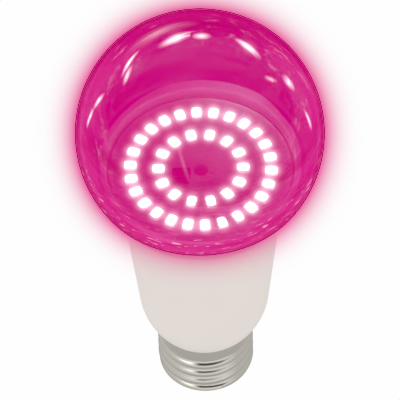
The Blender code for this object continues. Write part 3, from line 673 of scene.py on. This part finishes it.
# Nickel plate on rolled brass: warm grey, with fine marks drawn round by the rollers.
cap_shell(worked_metal("rolled_nickel_plate", "#C8C4BB", 3.333, 12.0, 0.09, 0.17, 0.3))

# %% [markdown]
# ## LEDs
#
# Each LED is a white reflector cup with a window of phosphor in silicone. Lit, the window is far brighter
# than anything round it, and the camera records the whole package as white. The window starts as a circle
# whose points are pushed out towards the corners of a rectangle, which gives round corners without a
# bevel, and an inset raises its middle.

# %% LEDs
LED_WINDOW_L = 3.3 * MM
LED_WINDOW_W = 2.7 * MM
LED_WINDOW_Z = -0.08 * MM
WINDOW_SQUARENESS = 0.3
WINDOW_SLOPE = 0.35 * MM
WINDOW_DOME = 0.06 * MM
LED_NAMES = sorted(name for name in nodes if name.startswith(("led_outer_", "led_inner_")))


# White polyphthalamide: lit from inside, so it glows as well.
led_reflector = grained("led_reflector_ppa", (0.4, 2), (0.01, 0.3), base_color="#F6F2EA", roughness=0.4,
                        emission_color="#FFFFFF", emission_strength=1.2)


def led_phosphor():
    """Phosphor in silicone: softly domed, and the brightest thing on the bulb."""
    made, shader, place, add = new_material("led_phosphor")
    grain = add("ShaderNodeTexNoise", {"Vector": place, "Scale": per_metre(0.333), "Detail": 2.0})
    glow = add("ShaderNodeValToRGB", [grain], ((0.0, "#EEE6E6"), (1.0, "#FFFFFF")))
    set_shader(shader, base_color="#F4E29A", roughness=0.25, emission_color=glow, emission_strength=32.0)
    return made


def led_centre(name):
    low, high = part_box(name)
    return (low + high).xy / 2


def led_place(name, height):
    """Puts what is drawn at the origin on an LED, with its X axis pointing away from the board's centre."""
    x, y = led_centre(name)
    return Matrix.Translation((x, y, height)) @ Matrix.Rotation(math.atan2(y, x), 4, "Z")


def led_windows():
    shape = bmesh.new()
    for name in LED_NAMES:
        made = bmesh.ops.create_circle(shape, cap_ends=True, segments=20, radius=1.0)["verts"]
        for vert in made:
            pull = max(abs(vert.co.x), abs(vert.co.y)) ** WINDOW_SQUARENESS
            vert.co = (vert.co.x / pull * LED_WINDOW_L / 2, vert.co.y / pull * LED_WINDOW_W / 2, 0)
        bmesh.ops.transform(shape, matrix=led_place(name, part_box(name)[1].z + LED_WINDOW_Z), verts=made)
    bmesh.ops.inset_individual(shape, faces=shape.faces[:], thickness=WINDOW_SLOPE, depth=WINDOW_DOME)
    smooth_shape(shape)
    windows = finish_piece("led_windows", shape, led_phosphor())
    windows.visible_glossy = False


paint_nodes(led_reflector, *LED_NAMES)
for led in LED_NAMES:
    nodes[led].visible_glossy = False
led_windows()

# %% [markdown]
# ## The board
#
# The LEDs are soldered to an aluminium-core board: a sheet of aluminium, a thin insulating layer, copper and
# white solder mask. The copper is cut into one field under each LED, so that the rings are wired in
# series, and the narrow gaps between the fields show as paler lines. The fields could be a picture on
# the board, but they stand 0.1 mm proud, so each one is a slab: a small rectangle is spun through the
# angle that its LED has to itself.

# %% Board and copper fields
BOARD_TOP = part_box("led_board")[1].z
COPPER_RISE = 0.1 * MM
FIELD_GAP = 0.7 * MM
FIELD_STEPS = 6
FIELDS = (("outer", 15.6 * MM, 23.6 * MM), ("inner", 8.4 * MM, 15.0 * MM))


def solder_mask(name, shade, tint):
    """Epoxy solder mask, screened and cured: white, half matt, a little uneven over the copper."""
    return grained(name, (1.11, 2), (0.02, 0.4), ((0.35, shade), (0.65, tint)), (6.25, 3), roughness=0.45)


def copper_fields(finish):
    shape = bmesh.new()
    top = BOARD_TOP + COPPER_RISE
    for ring, inside, outside in FIELDS:
        centres = [led_centre(name) for name in LED_NAMES if ring in name]
        angles = sorted(math.atan2(y, x) for x, y in centres)
        share = TAU / len(angles) - FIELD_GAP / ((inside + outside) / 2)
        for angle in angles:
            corners = ((inside, BOARD_TOP), (outside, BOARD_TOP), (outside, top), (inside, top))
            verts = [shape.verts.new((r, 0, z)) for r, z in corners]
            face = shape.faces.new(verts)
            start = Matrix.Rotation(angle - share / 2, 3, "Z")
            bmesh.ops.rotate(shape, verts=verts, cent=(0, 0, 0), matrix=start)
            bmesh.ops.spin(shape, geom=[face], cent=(0, 0, 0), axis=(0, 0, 1), angle=share,
                           steps=FIELD_STEPS)
    bmesh.ops.recalc_face_normals(shape, faces=shape.faces)
    return finish_piece("board_copper_fields", shape, finish)


paint_nodes(solder_mask("white_solder_mask", "#F4F4F2", "#FBFBFA"), "led_board")
copper_fields(solder_mask("masked_copper", "#D3D0CD", "#E0DDDA"))

# %% [markdown]
# ## Solder and connector
#
# Each LED stands on two pads, with solder that has run out into a low slope at both ends. A cube whose
# lower corners are moved out makes that slope, and needs no bevel. The two driver leads come up through the
# board into a black push-in connector. Its moulding has a raised deck, two release slots on top and two
# round ways for the leads below. They are cut out with one Boolean, because faces cut by hand would have to
# be joined up again round every hole.

# %% Solder pads
PAD_LENGTH = 1.1 * MM
PAD_WIDTH = 2.4 * MM
PAD_OFFSET = 1.1 * MM
PAD_RUN_OUT = 0.25 * MM
TEST_PADS = ((3.0, -1.1), (2.3, -4.5))
TEST_PAD_LOW = Vector((-0.7, -0.35, -0.05)) * MM
TEST_PAD_HIGH = Vector((0.7, 0.35, 0.08)) * MM
TEST_PAD_BEVEL = 0.03 * MM


# Tin solder, melted and set: bright, slightly grainy.
bright_solder = grained("reflowed_tin_solder", (0.667, 3), (0.02, 0.5), base_color="#CFCFCB", metallic=1.0,
                        roughness=0.3)


def solder_pads():
    shape = bmesh.new()
    for name in LED_NAMES:
        led_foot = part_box(name)[0].z
        for side in (-1, 1):
            verts = bmesh.ops.create_cube(shape, size=1.0)["verts"]
            for vert in verts:
                flare = PAD_RUN_OUT if vert.co.z < 0 else 0.0
                vert.co.x = vert.co.x * (PAD_LENGTH + 2 * flare) + side * PAD_OFFSET
                vert.co.y *= PAD_WIDTH + 2 * flare
                vert.co.z = BOARD_TOP + COPPER_RISE if vert.co.z < 0 else led_foot
            bmesh.ops.transform(shape, matrix=led_place(name, 0), verts=verts)
    for x, y in TEST_PADS:
        spot = Vector((x * MM, y * MM, BOARD_TOP))
        add_block(shape, spot + TEST_PAD_LOW, spot + TEST_PAD_HIGH, TEST_PAD_BEVEL)
    return finish_piece("led_solder_pads", shape, bright_solder)


solder_pads()

# %% Connector
CONNECTOR_BEVEL = 0.25 * MM
LEAD_HOLE_R = 0.55 * MM
LEAD_PLUG_DEPTH = 1.25 * MM
RELEASE_SLOT = (0.9 * MM, 0.5 * MM, 0.5 * MM)
SLOT_FROM_BACK = 0.9 * MM
DECK_STEP = 0.7 * MM
DECK_DROP = 0.6 * MM
CUT_CLEAR = 1.0 * MM


# Black nylon, injection moulded: satin, with a fine even grain.
dark_nylon = grained("moulded_black_nylon", (0.625, 2), (0.02, 0.4), ((0.0, "#232325"), (1.0, "#38383C")),
                     roughness=0.42, ior=1.53)


def connector():
    low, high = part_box("board_connector")
    shape = bmesh.new()
    add_block(shape, low, high, CONNECTOR_BEVEL)
    ways = bmesh.new()
    length, width, depth = RELEASE_SLOT
    slot_back = high.y - SLOT_FROM_BACK
    for lead in ("led_lead_positive", "led_lead_negative"):
        x = led_centre(lead).x
        bmesh.ops.create_cone(ways, cap_ends=True, segments=24, radius1=LEAD_HOLE_R, radius2=LEAD_HOLE_R,
                              depth=2 * LEAD_PLUG_DEPTH,
                              matrix=Matrix.Translation((x, (low.y + high.y) / 2, low.z)))
        add_block(ways, (x - length / 2, slot_back - width, high.z - depth),
                  (x + length / 2, slot_back, high.z + depth))
    add_block(ways, (low.x - CUT_CLEAR, low.y - CUT_CLEAR, high.z - DECK_DROP),
              (high.x + CUT_CLEAR, low.y + DECK_STEP, high.z + CUT_CLEAR))
    shape = combine(shape, ways, "DIFFERENCE")
    smooth_shape(shape)
    return finish_piece("lead_connector", shape, dark_nylon, ["board_connector"])


connector()

# %% [markdown]
# ## The foot of the cap
#
# Black glass fills the bottom of the shell and holds the centre contact, a nickel-plated brass button
# riveted through it. Both keep their CAD shape, and so do the driver's parts further on. One function
# suits them all, because each finish is two close shades in a grain of its own size.

# %% Cap glass and contact
def speckled(name, dark, light, grain_mm, **settings):
    """A finish of two close shades that wander over one grain size."""
    return grained(name, (grain_mm, 3), (0.02, 0.4), ((0.3, dark), (0.7, light)), **settings)


paint_nodes(speckled("pressed_black_glass", "#08080A", "#141416", 1.2, roughness=0.12, ior=1.52),
            "cap_insulator")
paint_nodes(speckled("nickel_plated_brass", "#B4AE9C", "#C8C2B2", 0.6, roughness=0.24, metallic=1.0),
            "centre_contact")

# %% [markdown]
# ## Heat sink
#
# A deep-drawn aluminium cup under the board. The punch drags fine lines down the skirt, so the noise of
# the cap's metal is used once more, drawn out along Z, and roughens the metal where the lines are.

# %% Heat sink
# Aluminium, deep drawn: pale grey, with fine upright draw lines.
paint_nodes(worked_metal("deep_drawn_aluminium", "#C4C5C6", 0.556, 0.04, 0.26, 0.42, 0.4), "heat_sink")

# %% [markdown]
# ## The driver
#
# The driver is never seen in the photo, yet a viewer of the model can take the housing away. Glass-fibre
# board has a woven ground, so a fine grid of waves crosses its green. The coil is wound with yellow tape,
# the resistor is dipped in lacquer and ringed with colours, and the other parts are moulded, sleeved or
# dipped.

# %% Driver board
WEAVE = 0.5 * MM


def wave_scale(period):
    """The scale at which a Wave texture repeats once in each period."""
    return math.pi / (10 * period)


def fibreglass():
    """Glass-fibre epoxy board with green solder mask: glossy, with the cloth's weave just showing."""
    made, shader, place, add = new_material("green_masked_fibreglass")
    threads = []
    for axis in ("X", "Z"):
        threads.append(add("ShaderNodeTexWave", {"Vector": place, "Scale": wave_scale(WEAVE)},
                           bands_direction=axis).outputs["Fac"])
    cloth = add("ShaderNodeMath", threads, operation="MULTIPLY")
    colour = add("ShaderNodeValToRGB", [cloth], ((0.0, "#14563A"), (1.0, "#1E6D49")))
    set_shader(shader, base_color=colour, roughness=0.3, ior=1.55, relief=(cloth, 0.02 * MM, 0.3))
    return made


paint_nodes(fibreglass(), "driver_board")

# %% Coil and resistor
TAPE_TURN = 1.6 * MM
TAPE_EDGE = 0.12
LACQUER_RINGS = ((-1.6, "#7A4A1E"), (-0.7, "#1A1A1A"), (0.2, "#C23A22"), (1.5, "#B08A2E"))
RING_HALF = 0.28 * MM


def wound_tape():
    """Polyester tape over a coil: smooth yellow, with the edge of each turn as a fine line."""
    made, shader, place, add = new_material("yellow_polyester_tape")
    turns = add("ShaderNodeTexWave", {"Vector": place, "Scale": wave_scale(TAPE_TURN), "Distortion": 0.4},
                bands_direction="Z", wave_profile="SAW").outputs["Fac"]
    colour = add("ShaderNodeValToRGB", [turns], ((0.0, "#8F7418"), (TAPE_EDGE, "#D9B53A")))
    set_shader(shader, base_color=colour, roughness=0.3, ior=1.6, relief=(turns, 0.05 * MM, 0.5))
    return made


def ringed_lacquer():
    """Green lacquer, dipped over a ceramic core: glossy, with painted rings in a common colour code."""
    made, shader, place, add = new_material("ringed_green_lacquer")
    along = add("ShaderNodeSeparateXYZ", [place]).outputs["X"]
    speck = add("ShaderNodeTexNoise", {"Vector": place, "Scale": per_metre(0.833)})
    colour = add("ShaderNodeValToRGB", [speck], ((0.0, "#4F8A72"), (1.0, "#629C84")))
    for centre_mm, shade in LACQUER_RINGS:
        inside = add("ShaderNodeMath", [along, centre_mm * MM, RING_HALF], operation="COMPARE")
        colour = add("ShaderNodeMix", {0: inside, 6: colour, 7: shade}, data_type="RGBA").outputs[2]
    set_shader(shader, base_color=colour, roughness=0.22, ior=1.5, relief=(speck, 0.02 * MM, 0.3))
    return made


paint_nodes(wound_tape(), "power_inductor")
paint_nodes(ringed_lacquer(), "fuse_resistor")

# %% Other driver parts and wires
pvc = {"roughness": 0.35, "ior": 1.53}
for finish, *names in (
        (speckled("moulded_black_epoxy", "#101012", "#1B1B1D", 0.15, roughness=0.55, ior=1.55), "driver_ic",
         "bridge_rectifier"),
        (speckled("shrunk_black_sleeve", "#121316", "#1A1B20", 1.5, roughness=0.25, ior=1.53),
         "electrolytic_capacitor"),
        (speckled("dipped_red_epoxy", "#8E2A20", "#9C3226", 1.0, roughness=0.2, ior=1.55), "film_capacitor"),
        (speckled("red_pvc_sleeve", "#A82018", "#B8281E", 0.8, **pvc), "live_wire", "led_lead_positive"),
        (speckled("black_pvc_lead", "#101010", "#1A1A1A", 0.8, **pvc), "led_lead_negative"),
        (speckled("tinned_copper_wire", "#B9BAB8", "#CDCDCA", 0.3, roughness=0.28, metallic=1.0),
         "neutral_wire")):
    paint_nodes(finish, *names)

# %% [markdown]
# ## Light table and world
#
# The photograph was taken on a white ground that is as bright as paper, so the floor is a light table: a
# large plane that gives off plain light. A white floor under lamps would do too, but it would need its
# exposure tuned. The plane's underside is clear, so that the bulb can also be looked at from below. The
# world is the same white, and lights only what is matt.

# %% Light table and world
FLOOR_SIZE = 4.0
WHITE = "#FEFEFE"


def stage_piece(name, shape, finish, only_gloss=True):
    """A thing of the studio. Most are seen only in mirror images, so they tint nothing else."""
    made = make_object(name, shape, finish)
    if only_gloss:
        made.visible_camera = made.visible_diffuse = made.visible_transmission = made.visible_shadow = False
    return made


def light_up(shader, strength, colour="#FFFFFF", one_sided=False):
    """Swaps a material's shader for plain light. One-sided light is clear from behind."""
    add = partial(add_node, shader.id_data)
    output = shader.id_data.nodes["Material Output"]
    shader.id_data.nodes.remove(shader)
    surface = add("ShaderNodeEmission", [colour, strength])
    if one_sided:
        behind = add("ShaderNodeNewGeometry").outputs["Backfacing"]
        surface = add("ShaderNodeMixShader", [behind, surface, add("ShaderNodeBsdfTransparent")])
    feed(output.inputs["Surface"], surface)


def light_table():
    """Opal acrylic, lit from below: even white, with no grain that the eye could find."""
    made, shader = new_material("light_table")[:2]
    light_up(shader, 1.0, WHITE, one_sided=True)
    return made


def table_and_world():
    shape = bmesh.new()
    bmesh.ops.create_grid(shape, x_segments=1, y_segments=1, size=FLOOR_SIZE)
    floor = stage_piece("floor", shape, light_table(), only_gloss=False)
    floor.visible_glossy = False
    world = bpy.data.worlds.new("studio")
    world.use_nodes = True
    background = world.node_tree.nodes["Background"]
    feed(background.inputs["Color"], WHITE)
    feed(background.inputs["Strength"], 1.0)
    bpy.context.scene.world = world
    world.cycles_visibility.glossy = False
    world.cycles_visibility.transmission = False


table_and_world()

# %% [markdown]
# ## What the cap mirrors
#
# Polished nickel has no colour of its own to speak of: it shows the studio. The light stripes on the cap
# in the photograph are a pale table and pale walls, and the dark ones are the side where the camera
# stands. Real walls would do, but they would light the whole scene. So a bowl that only mirror images see
# stands round the bulb, painted with a grey for each bearing in a lower and an upper band. A black ring
# above it keeps it out of the globe.

# %% Bowl round the cap
BOWL_R = 90 * MM
BOWL_H = 82 * MM
BOWL_FOOT = -0.1 * MM
BOWL_STEPS = 96
BOWL_LIGHT = 2.0
WALL_FOOT = 1 * MM
WALL_SPLIT = 54 * MM
SPLIT_HALF = 2 * MM
SPLIT_SLOPE = (-0.06, 0.0, 1.0)
FOOT_NEAR = 15 * MM
FOOT_FAR = 34 * MM
FOOT_TONES = (0.3, 0.33)
WALL_TONES = ((-179, 0.38), (-60, 0.42), (-30, 0.52), (34, 0.54), (60, 0.38), (179, 0.36))
HIGH_TONES = ((-179, 0.4), (-120, 0.6), (-70, 1.0), (-34, 1.0), (-18, 0.03), (30, 0.03), (48, 0.34),
              (120, 0.4), (179, 0.4))
SHADE_IN = (20 * MM, 84 * MM)
SHADE_OUT = (92 * MM, 84 * MM)
SHADE_STEPS = 64


def bowl_paint():
    """Matt wall paint in greys, lit evenly. Bearing 0 is the front, and 90 the right."""
    made, shader, place, add = new_material("cap_surround")
    spot = add("ShaderNodeSeparateXYZ", [place])
    toward = add("ShaderNodeMath", [spot.outputs["Y"], -1.0], operation="MULTIPLY")
    bearing = add("ShaderNodeMath", [spot.outputs["X"], toward], operation="ARCTAN2")
    low_band, high_band = [tones_round(add, bearing, tones) for tones in (WALL_TONES, HIGH_TONES)]
    raised = add("ShaderNodeVectorMath", [place, SPLIT_SLOPE], operation="DOT_PRODUCT")
    above = add("ShaderNodeMapRange", [raised.outputs["Value"], WALL_SPLIT - SPLIT_HALF,
                                       WALL_SPLIT + SPLIT_HALF])
    walls = add("ShaderNodeMix", {0: above, 6: low_band, 7: high_band}, data_type="RGBA").outputs[2]
    away = add("ShaderNodeVectorMath", [place], operation="LENGTH").outputs["Value"]
    foot = add("ShaderNodeMapRange", [away, FOOT_NEAR, FOOT_FAR, *FOOT_TONES])
    upright = add("ShaderNodeMath", [spot.outputs["Z"], WALL_FOOT], operation="GREATER_THAN")
    tone = add("ShaderNodeMix", {0: upright, 6: foot, 7: walls}, data_type="RGBA").outputs[2]
    light_up(shader, BOWL_LIGHT, tone, one_sided=True)
    return made


def cap_surround():
    shape = bmesh.new()
    line_to(shape, start_line(shape, (0, BOWL_FOOT)), (BOWL_R, BOWL_FOOT), (BOWL_R, BOWL_H))
    lathe(shape, BOWL_STEPS)
    foot_faces = [face for face in shape.faces if face.calc_center_median().z < 0]
    if foot_faces[0].normal.z < 0:
        bmesh.ops.reverse_faces(shape, faces=shape.faces)
    stage_piece("cap_surround", shape, bowl_paint())


def under_shade():
    """A matt black ring, as a card of black flock would shade the globe from the bowl."""
    made, shader = new_material("under_shade")[:2]
    light_up(shader, 0.0)
    shape = bmesh.new()
    line_to(shape, start_line(shape, SHADE_IN), SHADE_OUT)
    lathe(shape, SHADE_STEPS)
    stage_piece("under_shade", shape, made)


cap_surround()
under_shade()

# %% [markdown]
# ## What the globe mirrors
#
# The globe shows windows as broad soft patches behind, thin bright strips down both sides, and dim
# patches elsewhere. An area lamp has hard, even edges in a mirror, so each window is a card with a
# material that fades out from its middle. A large ball with a faint noise gives the rest of the room.

# %% Studio dome
DOME_RADIUS = 3.0
DOME_RADIANCE = 1.9
DOME_PATCHES = (0.55, 0.75)
DOME_FRONT = (0.0, 0.62 / DOME_RADIUS, -0.79 / DOME_RADIUS)
DOME_ZONES = ((0.0, 0.0), (0.45, 0.1), (0.6, 1.0), (0.82, 1.0), (0.92, 0.12), (1.0, 0.0))


def studio_dome():
    """The walls of a dim room: dark behind the camera, with uneven patches of light elsewhere."""
    made, shader, place, add = new_material("studio_dome")
    patches = add("ShaderNodeTexNoise", {"Vector": place, "Scale": per_metre(500), "Detail": 5.0,
                                         "Roughness": 0.62, "Distortion": 0.4})
    glow = add("ShaderNodeMapRange", [patches, *DOME_PATCHES, 0.0, DOME_RADIANCE])
    along = add("ShaderNodeVectorMath", [place, DOME_FRONT], operation="DOT_PRODUCT")
    zone = add("ShaderNodeMapRange", [along.outputs["Value"], -1.0, 1.0])
    away = add("ShaderNodeValToRGB", [zone], DOME_ZONES)
    light_up(shader, add("ShaderNodeMath", [glow, away], operation="MULTIPLY"))
    shape = bmesh.new()
    bmesh.ops.create_icosphere(shape, subdivisions=4, radius=DOME_RADIUS)
    stage_piece("studio_dome", shape, made)


studio_dome()

# %% Window cards
CARD_DISTANCE = 1.0
CARD_CENTRE = Vector((0, 0, 106.5 * MM))
CARD_FADE = 1.5
CARD_BARS = (1.5, 9.0, 1.0)
CARDS = (("window_main", -13, 26, 28, 14, 30, 12, 0.7), ("window_side", 3, 28, 13, 12, 20, 0, 0.3),
         ("window_right", 33, 20.5, 23, 11, 30, -8, 0.6), ("strip_left_high", -44, 14, 24, 6, 24, 5, 0.5),
         ("strip_left_mid", -54, 20, 18, 7, 22, 5, 0.4), ("strip_left_low", -60, -8, 6, 16, 16, 0, 0.3),
         ("strip_right_high", 57, 2, 11, 14, 18, 0, 0.5), ("strip_right_mid", 61, 22, 6, 14, 14, 0, 0.5),
         ("strip_left_foot", -61, -20, 5, 18, 12, 0, 0.4), ("strip_right_foot", 66, -20, 5, 18, 12, 0, 0.4),
         ("window_haze", -20, 7, 44, 22, 4.2, 0, 0.8), ("strip_front", -162, 26, 5, 62, 2.6, 24, 0.2))


def window_glow(name, radiance, streaks):
    """A window's light: even in the middle, fading to nothing at its edges, with a few paler bars."""
    made, shader, place, add = new_material(name)
    away = add("ShaderNodeVectorMath", [place], operation="LENGTH").outputs["Value"]
    near = add("ShaderNodeMapRange", [away, 0.5, 0.0])
    fade = add("ShaderNodeMath", [near, CARD_FADE], operation="POWER")
    drawn_out = add("ShaderNodeMapping", {"Vector": place, "Location": (radiance, 0.0, 0.0),
                                          "Scale": CARD_BARS})
    noise = add("ShaderNodeTexNoise", {"Vector": drawn_out, "Scale": 1.0, "Detail": 2.0})
    bars = add("ShaderNodeMapRange", [noise, 0.4, 0.6, radiance * (1 - streaks), radiance])
    light_up(shader, add("ShaderNodeMath", [fade, bars], operation="MULTIPLY"))
    return made


def add_card(name, azimuth, elevation, width, height, radiance, roll, streaks):
    """Angles are in degrees, as seen from the globe. Azimuth 0 is behind the bulb and grows to the right."""
    a, e = math.radians(azimuth), math.radians(elevation)
    out = Vector((math.sin(a) * math.cos(e), math.cos(a) * math.cos(e), math.sin(e)))
    shape = bmesh.new()
    bmesh.ops.create_grid(shape, x_segments=1, y_segments=1, size=0.5)
    card = stage_piece(name, shape, window_glow(name, radiance, streaks))
    sides = [2 * CARD_DISTANCE * math.tan(math.radians(angle / 2)) for angle in (width, height)]
    facing = out.to_track_quat("Z", "Y").to_matrix().to_4x4()
    card.matrix_world = (Matrix.Translation(CARD_CENTRE + CARD_DISTANCE * out) @ facing
                         @ Matrix.Rotation(math.radians(roll), 4, "Z") @ Matrix.Diagonal((*sides, 1.0, 1.0)))


for card in CARDS:
    add_card(*card)

# %% [markdown]
# ## Light on the board
#
# The globe throws some of the LEDs' light back on the board, most of it at the back and at the front.
# Tracing that light would be slow and noisy, so two small disc lamps inside the globe stand for it. They
# show only on matt things.

# %% Lamps over the board
def board_wash(name, place, size, power):
    light = bpy.data.lights.new(name, "AREA")
    light.shape = "DISK"
    light.size = size
    light.energy = power
    lamp = bpy.data.objects.new(name, light)
    lamp.location = place
    bpy.context.scene.collection.objects.link(lamp)
    lamp.visible_camera = lamp.visible_glossy = lamp.visible_transmission = False


board_wash("wash_back", (11 * MM, 21 * MM, 108 * MM), 12 * MM, 0.0046)
board_wash("wash_front", (3 * MM, -19 * MM, 108 * MM), 10 * MM, 0.0010)

scene = bpy.context.scene
scene.view_settings.view_transform = "Standard"
scene.view_settings.look = "None"

# %% [markdown]
# ## The glow in the picture
#
# A lit bulb glows in a photograph because the lens and the sensor spread its light. That is an effect of
# the camera, so it is made in the compositor and leaves the model alone. A matte of the globe is blurred
# for the halo round it, and fainter on the housing. A matte of the brightest pixels is blurred for the
# soft light round each LED. The matte's own half-covered pixels give the globe a painted dark outline,
# a painted shade for the dark edge that refraction gives the wall.

# %% Glow
HALO_PIXELS = 45
HALO_GAIN = 1.9
HALO_COLOUR = "#E70090"
BODY_HALO = 0.84
OUTLINE_GAIN = 6.0
OUTLINE_COLOUR = "#B51F6C"
BLOOM_PIXELS = 10
BLOOM_GAIN = 1.2
BLOOM_FROM = 0.9
BLOOM_FULL = 1.2


def soft_halo(add, mask, outside, body):
    """How strong the halo is: the blurred matte, outside the globe only, and weaker on the housing."""
    spread = add("CompositorNodeBlur", [mask, (HALO_PIXELS, HALO_PIXELS)], filter_type="GAUSS")
    halo = add("CompositorNodeMath", [spread, HALO_GAIN], operation="MULTIPLY", use_clamp=True)
    on_body = add("CompositorNodeMapRange", [body, 0.0, 1.0, 1.0, BODY_HALO])
    for part in (on_body, outside):
        halo = add("CompositorNodeMath", [halo, part], operation="MULTIPLY")
    return halo


def led_bloom(add, image, mask):
    """How much white is added round the LEDs: the blurred matte of what is brighter than the table."""
    green = add("CompositorNodeSeparateColor", [image]).outputs["Green"]
    bright = add("CompositorNodeMapRange", [green, BLOOM_FROM, BLOOM_FULL], use_clamp=True)
    lit = add("CompositorNodeMath", [bright, mask], operation="MULTIPLY")
    bloom = add("CompositorNodeBlur", [lit, (BLOOM_PIXELS, BLOOM_PIXELS)], filter_type="GAUSS")
    for part in (mask, BLOOM_GAIN):
        bloom = add("CompositorNodeMath", [bloom, part], operation="MULTIPLY")
    return bloom


def make_glow():
    scene.use_nodes = True
    scene.view_layers[0].use_pass_cryptomatte_object = True
    scene.node_tree.nodes.clear()
    add = partial(add_node, scene.node_tree)
    image = add("CompositorNodeRLayers").outputs["Image"]
    mattes = []
    for piece in (cover, moulded_housing):
        matte = add("CompositorNodeCryptomatteV2", [image], scene=scene)
        matte.matte_id = piece.name
        mattes.append(matte.outputs["Matte"])
    mask, body = mattes
    outside = add("CompositorNodeMapRange", [mask, 0.0, 1.0, 1.0, 0.0], use_clamp=True)
    halo = soft_halo(add, mask, outside, body)
    # Painted shade: a dark outline on the half-covered pixels at the globe's edge.
    half_covered = add("CompositorNodeMath", [mask, outside], operation="MULTIPLY")
    outline = add("CompositorNodeMath", [half_covered, OUTLINE_GAIN], operation="MULTIPLY", use_clamp=True)
    for share, colour, blend in ((led_bloom(add, image, mask), "#FFFFFF", "ADD"), (halo, HALO_COLOUR, "MIX"),
                                 (outline, OUTLINE_COLOUR, "MIX")):
        image = add("CompositorNodeMixRGB", [share, image, colour], blend_type=blend)
    add("CompositorNodeComposite", [image])
    print("glow: halo of", HALO_PIXELS, "pixels round", cover.name)


make_glow()
